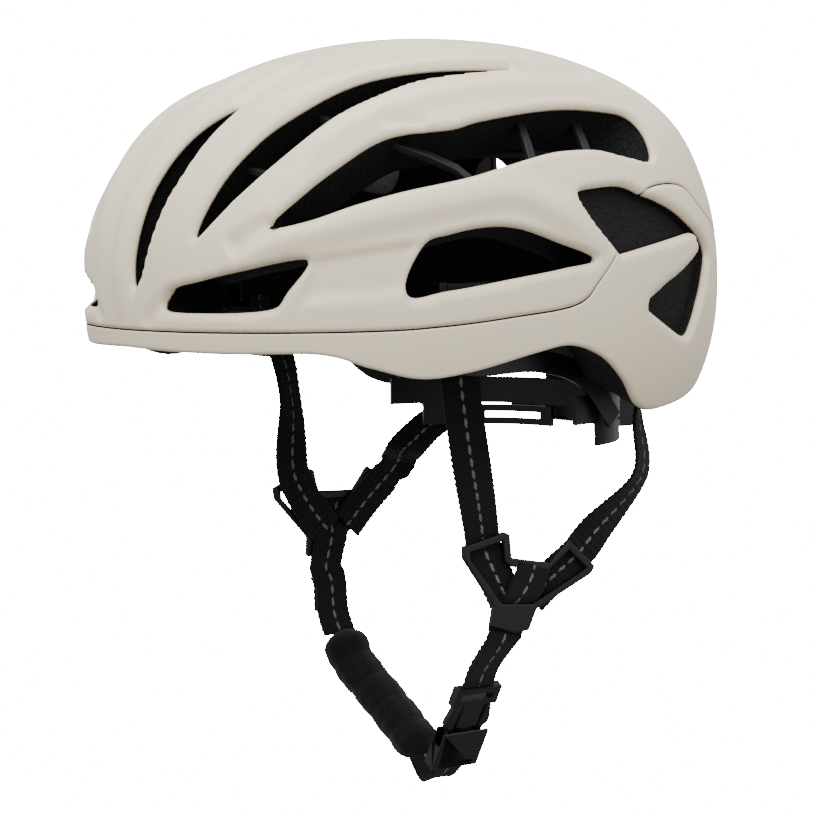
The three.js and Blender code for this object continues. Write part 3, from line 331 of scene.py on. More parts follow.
def relax(bm, index_layer, turn, rise, fixed, vent_tree):
    """Evens out the vertices beside an edge, so that its faces aren't pinched."""
    kept = np.array([v[index_layer] for v in bm.verts])
    close = gaps(vent_tree, form(turn[kept], rise[kept])) < RELAX_NEAR
    movable = {int(s) for s, c in zip(kept, close) if c and int(s) not in fixed}
    border = {v[index_layer] for v in bm.verts if v.is_boundary}
    beside = {v[index_layer]: [e.other_vert(v)[index_layer] for e in v.link_edges]
              for v in bm.verts if v[index_layer] in movable - border}
    for _ in range(RELAX_ROUNDS):
        moved = {s: (np.mean(turn[o]), np.mean(rise[o])) for s, o in beside.items()}
        for s, (t, r) in moved.items():
            turn[s], rise[s] = t, r


def seat_on_form(bm, index_layer, turn, rise, vent_tree):
    """Bends the flat grid onto the form, and hands back which way is out at each vertex."""
    kept = np.array([v[index_layer] for v in bm.verts])
    t, r = turn[kept], rise[kept]
    flat = form(t, r)
    edges = (vent_tree, LIP), (seam_tree, SEAM_LIP), (rim_tree, LIP)
    sunk = np.maximum.reduce([rolled(gaps(tree, flat), lip) for tree, lip in edges])
    normal = form_normal(t, r)
    place = flat + normal * (relief(t, r) - sunk)[:, None]
    for v, p, n in zip(bm.verts, place, normal):
        v.co = Vector(p) * MM
        v.normal = n
    return {int(s): Vector(n) for s, n in zip(kept, normal)}


print("shell grid of", COLUMNS, "columns to a side")

# %% [markdown]
# ## From half shells to whole ones
#
# The two shells of a real helmet meet at a seam and are taped or moulded in. Each is made here as two
# sides. A mirror would be shorter, but one slot is on the rider's left only, so each side gets its own
# vents and the two are merged on the middle plane. The edges of the vents get a short wall inwards, so
# that no thin edge shows.


# %% Give a shape its name, body, slot and finish
def finish_piece(bm, name, body, material, node, smooth=True):
    mesh = bpy.data.meshes.new(name)
    bm.to_mesh(mesh)
    bm.free()
    piece = bpy.data.objects.new(name, mesh)
    bpy.context.collection.objects.link(piece)
    if smooth:
        mesh.shade_smooth()
    mesh.materials.append(material)
    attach(piece, body)
    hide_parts(node)
    print(name, len(mesh.polygons), "faces")
    return piece


# %% Two sides to a shell
def shell_side(row_count, rows_at, side):
    bm, layer, turn, rise, edge_spots = shell_half(row_count, rows_at, side)
    normals = seat_on_form(bm, layer, turn, rise, vent_trees[side][0])
    vent_edges = [e for e in bm.edges
                  if e.is_boundary and all(v[layer] in edge_spots for v in e.verts)]
    made = bmesh.ops.extrude_edge_only(bm, edges=vent_edges)
    for v in made["geom"]:
        if isinstance(v, bmesh.types.BMVert):
            v.co -= normals[v[layer]] * EDGE_DEPTH * MM
    for v in bm.verts:
        if abs(v.co.x) < ON_MIDDLE * MM and v[layer] not in edge_spots:
            v.co.x = 0
    bmesh.ops.remove_doubles(bm, verts=bm.verts, dist=WELD * MM)
    bmesh.ops.scale(bm, vec=(side, 1, 1), verts=bm.verts)
    return bm


def whole_shell(row_count, rows_at):
    bm = shell_side(row_count, rows_at, 1)
    twin = shell_side(row_count, rows_at, -1)
    spare = bpy.data.meshes.new("spare")
    twin.to_mesh(spare)
    twin.free()
    bm.from_mesh(spare)
    bpy.data.meshes.remove(spare)
    middle = [v for v in bm.verts if abs(v.co.x) < MIDDLE_WELD * MM]
    bmesh.ops.remove_doubles(bm, verts=middle, dist=WELD * MM)
    bmesh.ops.recalc_face_normals(bm, faces=bm.faces)
    highest = max(bm.faces, key=lambda f: abs(f.normal.z) * (f.calc_center_median().z + 1))
    if highest.normal.z < 0:
        bmesh.ops.reverse_faces(bm, faces=bm.faces)
    return bm


SEAM_GAP = 0.15                 # degrees from the seam to each shell
EVEN_ROWS, CROWDED_ROWS = 0.78, 0.22    # rows lie closer together low down


def crown_rows(turn, share):
    seam = level(SEAM, turn) + SEAM_GAP
    return seam + (90 - seam) * (EVEN_ROWS * share + CROWDED_ROWS * share ** 3)


def brim_rows(turn, share):
    rim, seam = level(RIM, turn), level(SEAM, turn) - SEAM_GAP
    return rim + (seam - rim) * share


print("seam at the brow and at the back", level(SEAM, 0), level(SEAM, 180))

# %% [markdown]
# ## Materials
#
# A helmet has few finishes: painted shell, bead foam, moulded nylon, webbing and pad cloth. Each could
# be an image, but a few nodes stay sharp at any distance. Each starts from what the real one is, and
# every pattern's scale is a real size in millimetres.


# %% Material helpers
def linear(code):
    channels = [int(code[i:i + 2], 16) / 255 for i in (0, 2, 4)]
    return [c / 12.92 if c <= 0.04045 else ((c + 0.055) / 1.055) ** 2.4 for c in channels] + [1.0]


def add_node(tree, kind, settings=None, inputs=None):
    made = tree.nodes.new(kind)
    for key, value in (settings or {}).items():
        setattr(made, key, value)
    for key, value in (inputs or {}).items():
        if isinstance(value, bpy.types.NodeSocket):
            tree.links.new(value, made.inputs[key])
        else:
            made.inputs[key].default_value = value
    return made


SOCKETS = {"base": "Base Color", "roughness": "Roughness", "ior": "IOR", "coat": "Coat Weight",
           "coat_roughness": "Coat Roughness", "sheen": "Sheen Weight",
           "sheen_roughness": "Sheen Roughness", "specular": "Specular IOR Level"}


def new_material(name, **shader):
    material = bpy.data.materials.new(name)
    material.use_nodes = True
    tree = material.node_tree
    bsdf = tree.nodes["Principled BSDF"]
    for key, value in shader.items():
        bsdf.inputs[SOCKETS[key]].default_value = value
    return material, tree, bsdf


def per_mm(size):
    """Texture scale for a pattern that repeats every size millimetres."""
    return 1 / (size * MM)


print("a bead of 3 mm has a scale of", round(per_mm(3.0), 1))

# %% [markdown]
# ## Hard finishes
#
# The shell is painted sheet, the liner is fused beads, and the fittings are moulded in two dark greys.
# One plain colour for each would look like clay. What the eye reads is small: the paint's orange peel,
# the net between the beads and the fine grain of a mould. So each gets a bump at that size, and the paint
# and the plastics a roughness that varies a little.


# %% Cream paint
def cream_paint():
    # Satin paint on formed polycarbonate: soft highlights and a faint orange peel.
    material, tree, bsdf = new_material("cream_satin_polycarbonate", base=linear("e6d8bd"), roughness=0.42,
                                        ior=1.5, coat=0.12, coat_roughness=0.3)
    spot = add_node(tree, "ShaderNodeTexCoord").outputs["Object"]
    tone = add_node(tree, "ShaderNodeTexNoise",
                    inputs={"Vector": spot, "Scale": per_mm(60), "Detail": 3.0})
    ramp = add_node(tree, "ShaderNodeMix", {"data_type": "RGBA"},
                    {"Factor": tone.outputs["Fac"], "A": linear("e4d5b8"), "B": linear("e9dcc2")})
    tree.links.new(ramp.outputs["Result"], bsdf.inputs["Base Color"])
    peel = add_node(tree, "ShaderNodeTexNoise",
                    inputs={"Vector": spot, "Scale": per_mm(1.6), "Detail": 2.0})
    raised = add_node(tree, "ShaderNodeBump", inputs={"Height": peel.outputs["Fac"], "Strength": 0.06,
                                                      "Distance": 0.1 * MM})
    tree.links.new(raised.outputs["Normal"], bsdf.inputs["Normal"])
    rough = add_node(tree, "ShaderNodeMapRange", inputs={"Value": tone.outputs["Fac"], "To Min": 0.36,
                                                        "To Max": 0.46})
    tree.links.new(rough.outputs["Result"], bsdf.inputs["Roughness"])
    return material


cream = cream_paint()
print("paint", cream.name)


# %% Bead foam
def bead_foam():
    # Expanded polystyrene moulded from beads of about 3 mm, whose outlines show as a fine net.
    material, tree, bsdf = new_material("black_expanded_polystyrene", base=linear("101010"), roughness=0.8,
                                        ior=1.5, specular=0.2)
    spot = add_node(tree, "ShaderNodeTexCoord").outputs["Object"]
    beads = add_node(tree, "ShaderNodeTexVoronoi", {"feature": "DISTANCE_TO_EDGE"},
                     {"Vector": spot, "Scale": per_mm(3.0)})
    tint = add_node(tree, "ShaderNodeTexVoronoi", inputs={"Vector": spot, "Scale": per_mm(3.0)})
    seam = add_node(tree, "ShaderNodeMapRange",
                    inputs={"Value": beads.outputs["Distance"], "From Max": 0.09})
    shade = add_node(tree, "ShaderNodeMix", {"data_type": "RGBA"},
                     {"Factor": seam.outputs["Result"], "A": linear("050505"), "B": linear("131313")})
    grain = add_node(tree, "ShaderNodeMix", {"data_type": "RGBA", "blend_type": "MULTIPLY"},
                     {"Factor": 0.25, "A": shade.outputs["Result"], "B": tint.outputs["Color"]})
    tree.links.new(grain.outputs["Result"], bsdf.inputs["Base Color"])
    raised = add_node(tree, "ShaderNodeBump",
                      inputs={"Height": seam.outputs["Result"], "Strength": 0.55, "Distance": 0.5 * MM})
    tree.links.new(raised.outputs["Normal"], bsdf.inputs["Normal"])
    return material


foam = bead_foam()
print("foam", foam.name)


# %% Moulded plastics
def moulded(name, colour, roughness):
    # Injection-moulded nylon with a fine spark-eroded grain.
    material, tree, bsdf = new_material(name, base=linear(colour), roughness=roughness, ior=1.53,
                                        specular=0.3)
    spot = add_node(tree, "ShaderNodeTexCoord").outputs["Object"]
    grain = add_node(tree, "ShaderNodeTexNoise",
                     inputs={"Vector": spot, "Scale": per_mm(0.7), "Detail": 3.0})
    raised = add_node(tree, "ShaderNodeBump", inputs={"Height": grain.outputs["Fac"], "Strength": 0.18,
                                                      "Distance": 0.12 * MM})
    tree.links.new(raised.outputs["Normal"], bsdf.inputs["Normal"])
    worn = add_node(tree, "ShaderNodeTexNoise",
                    inputs={"Vector": spot, "Scale": per_mm(9), "Detail": 2.0})
    rough = add_node(tree, "ShaderNodeMapRange",
                     inputs={"Value": worn.outputs["Fac"], "To Min": roughness - 0.08,
                             "To Max": roughness + 0.08})
    tree.links.new(rough.outputs["Result"], bsdf.inputs["Roughness"])
    return material


black_nylon = moulded("black_moulded_nylon", "0b0b0c", 0.42)
grey_nylon = moulded("grey_moulded_nylon", "17181a", 0.5)
print("plastics", black_nylon.name, grey_nylon.name)

# %% [markdown]
# ## Webbing and pad cloth
#
# The straps are woven polypropylene with a sewn line of reflective dashes, and the pads are brushed
# polyester over foam. The dashes could be small pieces of mesh, but they lie in the weave, so they are
# drawn in the strap's own UV map, whose unit is a metre. Two sine waves make the weave, and a folded
# coordinate makes the row of dashes.

# %% Webbing
STRAP_WIDTH, STRAP_WALL = 16.0, 1.5         # mm
WEAVE_PITCH = 1.3, 1.7                      # mm, across and along, as coarse as it needs to be to show
DASH_PITCH, DASH_SIZE = 5.7, (1.4, 4.2)     # mm, from one dash to the next, and a dash's size


def webbing_cloth():
    # Polypropylene webbing, woven in ribs across the strap, with a sewn line of reflective grey dashes.
    material, tree, bsdf = new_material("woven_webbing_dashed", base=linear("0a0a0b"), roughness=0.85,
                                        ior=1.5, specular=0.15, sheen=0.06, sheen_roughness=0.5)
    uv = add_node(tree, "ShaderNodeUVMap").outputs["UV"]
    pitch = [2 * math.pi * per_mm(size) for size in WEAVE_PITCH]
    turns = add_node(tree, "ShaderNodeVectorMath", {"operation": "MULTIPLY"}, {0: uv, 1: (*pitch, 0)})
    waves = add_node(tree, "ShaderNodeVectorMath", {"operation": "SINE"}, {0: turns.outputs["Vector"]})
    wave = add_node(tree, "ShaderNodeSeparateXYZ", inputs={"Vector": waves.outputs["Vector"]})
    weave = add_node(tree, "ShaderNodeMath", {"operation": "MULTIPLY"},
                     {0: wave.outputs["X"], 1: wave.outputs["Y"]}).outputs["Value"]
    # The weave is painted lighter on its raised threads and darker in the hollows between them: painted
    # highlight and painted shade, laid over the weave's bump.
    lit = add_node(tree, "ShaderNodeMapRange", inputs={"Value": weave, "From Min": -1.0, "From Max": 1.0})
    cloth = add_node(tree, "ShaderNodeMix", {"data_type": "RGBA"},
                     {"Factor": lit.outputs["Result"], "A": linear("050506"), "B": linear("151517")})
    place = add_node(tree, "ShaderNodeSeparateXYZ", inputs={"Vector": uv})
    past = add_node(tree, "ShaderNodeMath", {"operation": "PINGPONG"},
                    {0: place.outputs["Y"], 1: DASH_PITCH / 2 * MM}).outputs["Value"]
    aside = add_node(tree, "ShaderNodeMath", {"operation": "MULTIPLY"},
                     {0: place.outputs["X"], 1: 2 * per_mm(DASH_SIZE[0])}).outputs["Value"]
    ahead = add_node(tree, "ShaderNodeMath", {"operation": "MULTIPLY"},
                     {0: past, 1: 2 * per_mm(DASH_SIZE[1])}).outputs["Value"]
    oval = add_node(tree, "ShaderNodeCombineXYZ", inputs={"X": aside, "Y": ahead})
    off = add_node(tree, "ShaderNodeVectorMath", {"operation": "LENGTH"}, {0: oval.outputs["Vector"]})
    dash = add_node(tree, "ShaderNodeMapRange", inputs={"Value": off.outputs["Value"], "From Min": 0.85,
                                                       "From Max": 1.1, "To Min": 1.0, "To Max": 0.0})
    shade = add_node(tree, "ShaderNodeMix", {"data_type": "RGBA"},
                     {"Factor": dash.outputs["Result"], "A": cloth.outputs["Result"],
                      "B": linear("6a6a6c")})
    tree.links.new(shade.outputs["Result"], bsdf.inputs["Base Color"])
    height = add_node(tree, "ShaderNodeMath", {"operation": "MULTIPLY_ADD"},
                      {0: dash.outputs["Result"], 1: 2.5, 2: weave})
    relief_of = add_node(tree, "ShaderNodeBump", inputs={"Height": height.outputs["Value"],
                                                        "Strength": 0.8, "Distance": 0.3 * MM})
    tree.links.new(relief_of.outputs["Normal"], bsdf.inputs["Normal"])
    return material


dashed_webbing = webbing_cloth()
print("webbing", dashed_webbing.name, "with a dash every", DASH_PITCH, "mm")


# %% Pad cloth
def pad_cloth():
    # Brushed polyester over foam: a soft nap with a faint knit.
    material, tree, bsdf = new_material("brushed_polyester", base=linear("09090a"), roughness=0.95,
                                        ior=1.45, specular=0.15, sheen=0.08, sheen_roughness=0.6)
    spot = add_node(tree, "ShaderNodeTexCoord").outputs["Object"]
    knit = add_node(tree, "ShaderNodeTexVoronoi", inputs={"Vector": spot, "Scale": per_mm(1.1)})
    nap = add_node(tree, "ShaderNodeTexNoise", inputs={"Vector": spot, "Scale": per_mm(6), "Detail": 5.0})
    tone = add_node(tree, "ShaderNodeMix", {"data_type": "RGBA"},
                    {"Factor": nap.outputs["Fac"], "A": linear("050506"), "B": linear("0f0f11")})
    tree.links.new(tone.outputs["Result"], bsdf.inputs["Base Color"])
    raised = add_node(tree, "ShaderNodeBump", inputs={"Height": knit.outputs["Distance"], "Strength": 0.5,
                                                      "Distance": 0.4 * MM})
    tree.links.new(raised.outputs["Normal"], bsdf.inputs["Normal"])
    return material


padding = pad_cloth()
print("pad cloth", padding.name)

# %% [markdown]
# ## Both shells
#
# The upper shell runs from the seam to the crown and the lower one from the brim to the seam. The sheet
# could be modelled with its thickness, but a Solidify modifier gives a wall of one even gauge, inwards
# from the painted face, and the surface stays easy to edit.

# %% Make both shells
UPPER_ROWS, LOWER_ROWS = 96, 46
upper = finish_piece(whole_shell(UPPER_ROWS, crown_rows), "upper_shell_skin", "helmet", cream,
                     "upper_shell")
lower = finish_piece(whole_shell(LOWER_ROWS, brim_rows), "lower_shell_skin", "helmet", cream,
                     "lower_shell")
for shell in (upper, lower):
    wall = shell.modifiers.new("wall", "SOLIDIFY")
    wall.thickness = SHELL_WALL * MM
    wall.offset = -1
    wall.use_even_offset = False

# %% [markdown]
# ## Foam liner
#
# The liner is one block of bead foam with tunnels from each vent to the cavity. It starts as one grid
# that runs from the crown down the outside, round the rim and up the cavity, and plugs cut the tunnels.

# %% Liner body
LINER_INSET = 1.7               # mm, under the shell
LINER_COLUMNS, LINER_ROWS = 132, 120
OUTSIDE_END, INSIDE_START = 0.5, 0.56   # shares of the rows, from the crown down, round and up again
RIM_SHARE, INSIDE_SHARE = 0.06, 0.44
AT_MIDDLE, LINER_WELD = 0.05, 0.02      # mm


def liner_point(turn, share):
    """A place on the liner, for a share of the way down its outside, round its rim and up inside."""
    rim = level(RIM, turn)
    outside, inside_wall = share < OUTSIDE_END, share > INSIDE_START
    rise_out = rim + (90 - rim) * np.clip(1 - share / OUTSIDE_END, 0, 1)
    rise_in = rim + (90 - rim) * np.clip((share - INSIDE_START) / INSIDE_SHARE, 0, 1)
    depth = np.clip((share - OUTSIDE_END) / RIM_SHARE, 0, 1)
    rise = np.where(outside, rise_out, np.where(inside_wall, rise_in, rim))
    shell = form(turn, rise, (LINER_INSET,) * 3)
    cavity = form(turn, rise, CAVITY)
    swell = np.where(outside, relief(turn, rise), 0)[:, None] * form_normal(turn, rise)
    return (shell + swell) * (1 - depth[:, None]) + cavity * depth[:, None]


def liner_body():
    bm, turn, share = chart_grid(LINER_COLUMNS, LINER_ROWS, lambda turn, share: share)
    place = liner_point(turn, share)
    for v, p in zip(bm.verts, place):
        v.co = Vector(p) * MM
        if abs(v.co.x) < AT_MIDDLE * MM:
            v.co.x = 0
    bmesh.ops.mirror(bm, geom=bm.verts[:] + bm.edges[:] + bm.faces[:], axis="X",
                     merge_dist=AT_MIDDLE * MM)
    bmesh.ops.remove_doubles(bm, verts=bm.verts, dist=LINER_WELD * MM)
    bmesh.ops.recalc_face_normals(bm, faces=bm.faces)
    return bm


liner = finish_piece(liner_body(), "bead_foam_liner", "helmet", foam, "eps_liner", smooth=False)

# %% Plugs for the tunnels
ABOVE = 14                      # mm, how far a plug starts above the form
# depth in mm, growth past the outline in mm, and how much of its size is left at the inner end
TUNNEL = {"depth": 62, "grow": 2.1, "draft": 0.84}
OTHER_TUNNELS = {"rear_recess": {"depth": 5.5, "grow": 0.9, "draft": 1.0},
                 "side_vent": {"draft": 0.72}}


def plug(outline, side, depth, grow, draft):
    """A vent's tunnel: its outline, grown a little, carried towards the middle of the head."""
    bm = bmesh.new()
    flat = form(outline[:, 0], outline[:, 1])
    along = np.roll(flat, -1, axis=0) - np.roll(flat, 1, axis=0)
    away = np.cross(along, form_normal(outline[:, 0], outline[:, 1]))
    away /= np.linalg.norm(away, axis=1, keepdims=True)
    middle = flat.mean(axis=0)
    outward = np.sign(np.sum(away * (flat - middle)))
    loop = (flat + away * outward * grow) * np.array([side, 1, 1])
    middle = middle * np.array([side, 1, 1])
    centre = np.array([0, 0, WIDEST_LEVEL])
    reach = np.linalg.norm(middle - centre)
    ring = [bm.verts.new(Vector(p)) for p in loop]
    edges = [bm.edges.new((a, b)) for a, b in zip(ring, ring[1:] + ring[:1])]
    bmesh.ops.triangle_fill(bm, edges=edges, use_beauty=True)
    top = bm.verts[:]
    deep = bmesh.ops.extrude_face_region(bm, geom=bm.faces[:])
    for v in deep["geom"]:
        if isinstance(v, bmesh.types.BMVert):
            spot = middle + (np.array(v.co) - middle) * draft
            v.co = Vector(centre + (spot - centre) * (1 - depth / reach))
    for v in top:
        v.co = Vector(centre + (np.array(v.co) - centre) * (1 + ABOVE / reach))
    bmesh.ops.scale(bm, vec=(MM, MM, MM), verts=bm.verts)
    bmesh.ops.recalc_face_normals(bm, faces=bm.faces)
    return bm


print("tunnels", {name: {**TUNNEL, **OTHER_TUNNELS.get(name, {})}["depth"] for name in outlines})


# %% Cut the tunnels
def cutter(bm, name):
    mesh = bpy.data.meshes.new(name)
    bm.to_mesh(mesh)
    bm.free()
    tool = bpy.data.objects.new(name, mesh)
    bpy.context.collection.objects.link(tool)
    return tool


def cut_with(piece, tools):
    for tool in tools:
        difference = piece.modifiers.new("cut", "BOOLEAN")
        difference.operation = "DIFFERENCE"
        difference.solver = "MANIFOLD"
        difference.object = tool
    bpy.context.view_layer.update()
    graph = bpy.context.evaluated_depsgraph_get()
    cut = bpy.data.meshes.new_from_object(piece.evaluated_get(graph))
    piece.modifiers.clear()
    piece.data = cut
    for tool in tools:
        bpy.data.objects.remove(tool)


tools = []
for name, loop in outlines.items():
    tunnel = {**TUNNEL, **OTHER_TUNNELS.get(name, {})}
    for side in (1, -1):
        if name in on_side[side]:
            tools.append(cutter(plug(loop, side, **tunnel), f"{name}_plug"))
cut_with(liner, tools)
liner.data.shade_smooth()
liner.data.set_sharp_from_angle(angle=math.radians(40))
print("liner", len(liner.data.polygons), "faces")

# %% [markdown]
# ## Webbing
#
# The straps are flat polypropylene webbing. A curve with a flat profile and a tilt at each point would
# follow the route, but couldn't pucker. So each is a flat grid bent along its route, with the small
# puckers that the sewn line draws into it, and its own UV map carries the weave and the dashes.

# %% Places that the straps share with the solids
BUCKLE_AT = np.array([29, 6.8, -166.0])
BUCKLE_ALONG = np.array([-0.447, -0.03, -0.894])
BUCKLE_ALONG /= np.linalg.norm(BUCKLE_ALONG)
BUCKLE_ACROSS = np.array([0, 1.0, 0]) - BUCKLE_ALONG * BUCKLE_ALONG[1]
BUCKLE_ACROSS /= np.linalg.norm(BUCKLE_ACROSS)
BUCKLE_OUT = np.cross(BUCKLE_ALONG, BUCKLE_ACROSS)
SPLITTERS = {                   # place, turn of its face, side, and tilt in degrees
    "left": (np.array([57, 20, -101.0]), 82, 1, 0),
    "right": (np.array([-56, 1.5, -81.0]), 90, -1, 8),
}
BEHIND = -2.65                  # mm, strap's middle behind a splitter's middle


def facing(turn):
    return np.array([math.sin(math.radians(turn)), -math.cos(math.radians(turn)), 0])


def by_splitter(which, back, up, out):
    at, turn, side, tilt = SPLITTERS[which]
    c, s = math.cos(math.radians(tilt)), math.sin(math.radians(tilt))
    flat = facing(turn + 90) * (back * c - up * s) + facing(turn) * out
    return [at[0] + side * flat[0], at[1] + flat[1], at[2] + back * s + up * c, side * turn]


def on_buckle(across, out, along, turn=90):
    return [*(BUCKLE_AT + BUCKLE_ACROSS * across + BUCKLE_OUT * out + BUCKLE_ALONG * along), turn]


def spaced(stops, step):
    """Even stations along a smooth line through [x, y, z, turn] stops."""
    fine = curve_through(stops, 24)
    run = np.concatenate([[0], np.cumsum(np.linalg.norm(np.diff(fine[:, :3], axis=0), axis=1))])
    even = np.linspace(0, run[-1], max(int(run[-1] / step), 4) + 1)
    return even, np.stack([np.interp(even, run, fine[:, k]) for k in range(4)], 1)


def axes_along(line):
    along = np.gradient(line[:, :3], axis=0)
    along /= np.linalg.norm(along, axis=1, keepdims=True)
    across = np.array([facing(t + 90) for t in line[:, 3]])
    across -= along * np.sum(across * along, axis=1, keepdims=True)
    across /= np.linalg.norm(across, axis=1, keepdims=True)
    return along, across, np.cross(across, along)


print("buckle axis", BUCKLE_ALONG.round(3))

# %% A strap from its stops
STATION, STRAP_ROWS = 0.75, 10  # mm along a strap from one row to the next, and rows across it
PUCKER_PITCH = DASH_PITCH / 2   # two puckers to a dash
EDGE_PUCKER = 0.18              # mm, how far the puckers move an edge sideways
WAVE_RUN, WAVE_SKEW, WAVE_HEIGHT = 7.3, 1.3, 0.25       # the cloth's slow waves, in mm


def strap(name, stops, node, body="helmet", pucker=0.22, lift=0.0, shift=0.0, start=0.0):
    """A strap through its stops. lift and shift move it off its route, and start moves its dashes."""
    run, line = spaced(stops, STATION)
    _, across, out = axes_along(line)
    bm = bmesh.new()
    count = len(run)
    bmesh.ops.create_grid(bm, x_segments=count - 1, y_segments=STRAP_ROWS, size=0.5, calc_uvs=True)
    uv = bm.loops.layers.uv.verify()
    spots = {}
    for v in bm.verts:
        i = min(max(round((v.co.x + 0.5) * (count - 1)), 0), count - 1)
        share = 2 * v.co.y
        wave = math.sin(2 * math.pi * (run[i] / PUCKER_PITCH)) * pucker * (1 - 0.35 * share * share)
        slow = math.sin(run[i] / WAVE_RUN + WAVE_SKEW * share) * WAVE_HEIGHT
        drawn = EDGE_PUCKER * math.sin(2 * math.pi * run[i] / PUCKER_PITCH + 1)
        side = share * (STRAP_WIDTH / 2 + drawn) + shift
        spots[v] = (share * STRAP_WIDTH / 2 * MM, (run[i] + start) * MM)
        v.co = Vector(line[i, :3] + across[i] * side + out[i] * (lift + wave + slow)) * MM
    for f in bm.faces:
        for loop in f.loops:
            loop[uv].uv = spots[loop.vert]
    bmesh.ops.recalc_face_normals(bm, faces=bm.faces)
    piece = finish_piece(bm, name, body, dashed_webbing, node)
    wall = piece.modifiers.new("wall", "SOLIDIFY")
    wall.thickness = STRAP_WALL * MM
    wall.offset = 0
    edge = piece.modifiers.new("edge", "BEVEL")
    edge.width = 0.35 * MM
    edge.segments = 2
    edge.limit_method = "ANGLE"
    edge.angle_limit = math.radians(55)


print("two puckers to a dash, every", PUCKER_PITCH, "mm")

# %% Straps on the rider's left
left_front = [[75.5, -26.5, 16, 70], [74, -26, 6, 70], [69, -24, -4, 69], [63.5, -21, -14, 69],
              [62, -15, -44, 69], by_splitter("left", -22, 27, BEHIND + 0.4),
              by_splitter("left", -20, 15, BEHIND), by_splitter("left", -15, 4, BEHIND),
              by_splitter("left", -9.5, -7, BEHIND)]
left_rear = [[60.5, 76.5, -17, 141], [60.8, 77, -26, 138], [62, 77, -38, 126], [65.5, 74.5, -60, 112],
             by_splitter("left", 35, 19, BEHIND), by_splitter("left", 26, 10, BEHIND),
             by_splitter("left", 15, 2, BEHIND), by_splitter("left", 3, -7, BEHIND)]
strap("left_front_webbing", left_front, "left_front_strap")
strap("left_rear_webbing", left_rear, "left_rear_strap")

# %% Straps on the rider's right
right_front = [[-75.5, -26.5, 16, -70], [-74, -26, 6, -70], [-69, -24, -4, -69], [-63.5, -21, -13, -69],
               [-61, -19, -34, -69], by_splitter("right", -22, 26, BEHIND),
               by_splitter("right", -20, 15, BEHIND), by_splitter("right", -15, 4, BEHIND),
               by_splitter("right", -8, -7, BEHIND)]
right_rear = [[-60.5, 76.5, -17, -141], [-60.8, 77, -26, -134], [-66, 71, -41, -112], [-69.5, 61, -50, -96],
              [-66, 47, -58, -90], by_splitter("right", 35, 15, BEHIND),
              by_splitter("right", 27, 9.5, BEHIND), by_splitter("right", 15, 2, BEHIND),
              by_splitter("right", 3, -7, BEHIND)]
strap("right_front_webbing", right_front, "right_front_strap")
strap("right_rear_webbing", right_rear, "right_rear_strap")

# %% [markdown]
# ## Below the splitters
#
# Under each splitter the two straps become one, which runs double where its loose end comes back. The
# double part could be one thick strap, but the eye reads two layers with their own edges, so the second
# is a strap of its own on part of the same route, moved off it by a little more than its thickness.
# Both sides leave their splitter the same way, so those stops are one list.


# %% Lower straps, their second layers and the loop on the socket
def below_splitter(which):
    return [by_splitter(which, 2.2, 7.2, 0.9), by_splitter(which, 0, 1, 1.0),
            by_splitter(which, -3.5, -5, 0.4), by_splitter(which, -6.2, -10, BEHIND),
            by_splitter(which, -9, -17, BEHIND), by_splitter(which, -11.5, -24, BEHIND)]


left_low = [*below_splitter("left"), on_buckle(0, 0, -31), on_buckle(0, 0, -21)]
strap("left_lower_webbing", left_low, "left_lower_strap", pucker=0.12)
strap("left_tail_webbing", left_low[5:], "left_strap_tail", lift=2.0, shift=1.6, start=3.0)
right_low = [*below_splitter("right"), [-53, -4, -112, -92], [-49.5, -5.5, -125, -92],
             [-44.5, -5.3, -134.5, -90]]
strap("right_lower_webbing", right_low, "right_lower_strap", pucker=0.14)
strap("right_tail_webbing", right_low[5:8], "right_strap_tail", lift=-2.0, start=2.0)
chin_loop = [on_buckle(0, 0, 17.4), on_buckle(0, -0.6, 22), [13, 4.6, -190.2, 90],
             [8, 3.4, -184.5, 90], [5.8, 3, -179.4, 90]]
strap("chin_loop_webbing", chin_loop, "chin_loop", body="socket", pucker=0.1)

# %% [markdown]
# ## Chin pad
#
# A sleeve of brushed cloth over soft foam goes round the right chin strap. The strap's stitching pulls
# it in at even steps, so it reads as a row of soft bulges with domed ends. Five balls joined up would
# look like beads, so one grid is wrapped into a tube, and its size swells and shrinks along the route.

# %% Chin pad
CHIN_STOPS = [[-44.5, -5.3, -134, 90], [-41, -4.6, -139, 90], [-36, -3.4, -147, 90],
              [-22, -0.6, -158.5, 90], [-6, 1.6, -170.5, 90], [3.5, 2.6, -177.5, 90],
              [7.5, 3.0, -180.5, 90]]
PAD_WIDE, PAD_THICK, PAD_BULGES = 21.5, 15.5, 5
PAD_STATION, PAD_ROUND, PAD_DOME = 0.6, 56, 7.5     # mm, faces round it, and mm of each domed end


def sleeve():
    run, line = spaced(CHIN_STOPS, PAD_STATION)
    _, across, out = axes_along(line)
    count = len(run)
    bm = bmesh.new()
    bmesh.ops.create_grid(bm, x_segments=count - 1, y_segments=PAD_ROUND, size=0.5)
    for v in bm.verts:
        i = min(max(round((v.co.x + 0.5) * (count - 1)), 0), count - 1)
        turn = 2 * math.pi * v.co.y
        share = run[i] / run[-1]
        end = min(run[i], run[-1] - run[i])
        dome = math.sqrt(max(0.0, 1 - (1 - min(end / PAD_DOME, 1)) ** 2))
        scallop = 1 + 0.07 * (abs(math.sin(math.pi * PAD_BULGES * share)) ** 0.6 - 0.6)
        crease = (0.012 * math.sin(9 * turn + 11 * share)
                  + 0.01 * math.sin(23 * share * math.pi + 3 * turn))
        size = dome * (scallop + crease)
        spot = (line[i, :3] + across[i] * math.cos(turn) * PAD_WIDE / 2 * size
                + out[i] * math.sin(turn) * PAD_THICK / 2 * size)
        v.co = Vector(spot) * MM
    bmesh.ops.remove_doubles(bm, verts=bm.verts, dist=0.02 * MM)
    bmesh.ops.recalc_face_normals(bm, faces=bm.faces)
    return bm


chin = finish_piece(sleeve(), "chin_pad_sleeve", "socket", padding, "chin_pad")

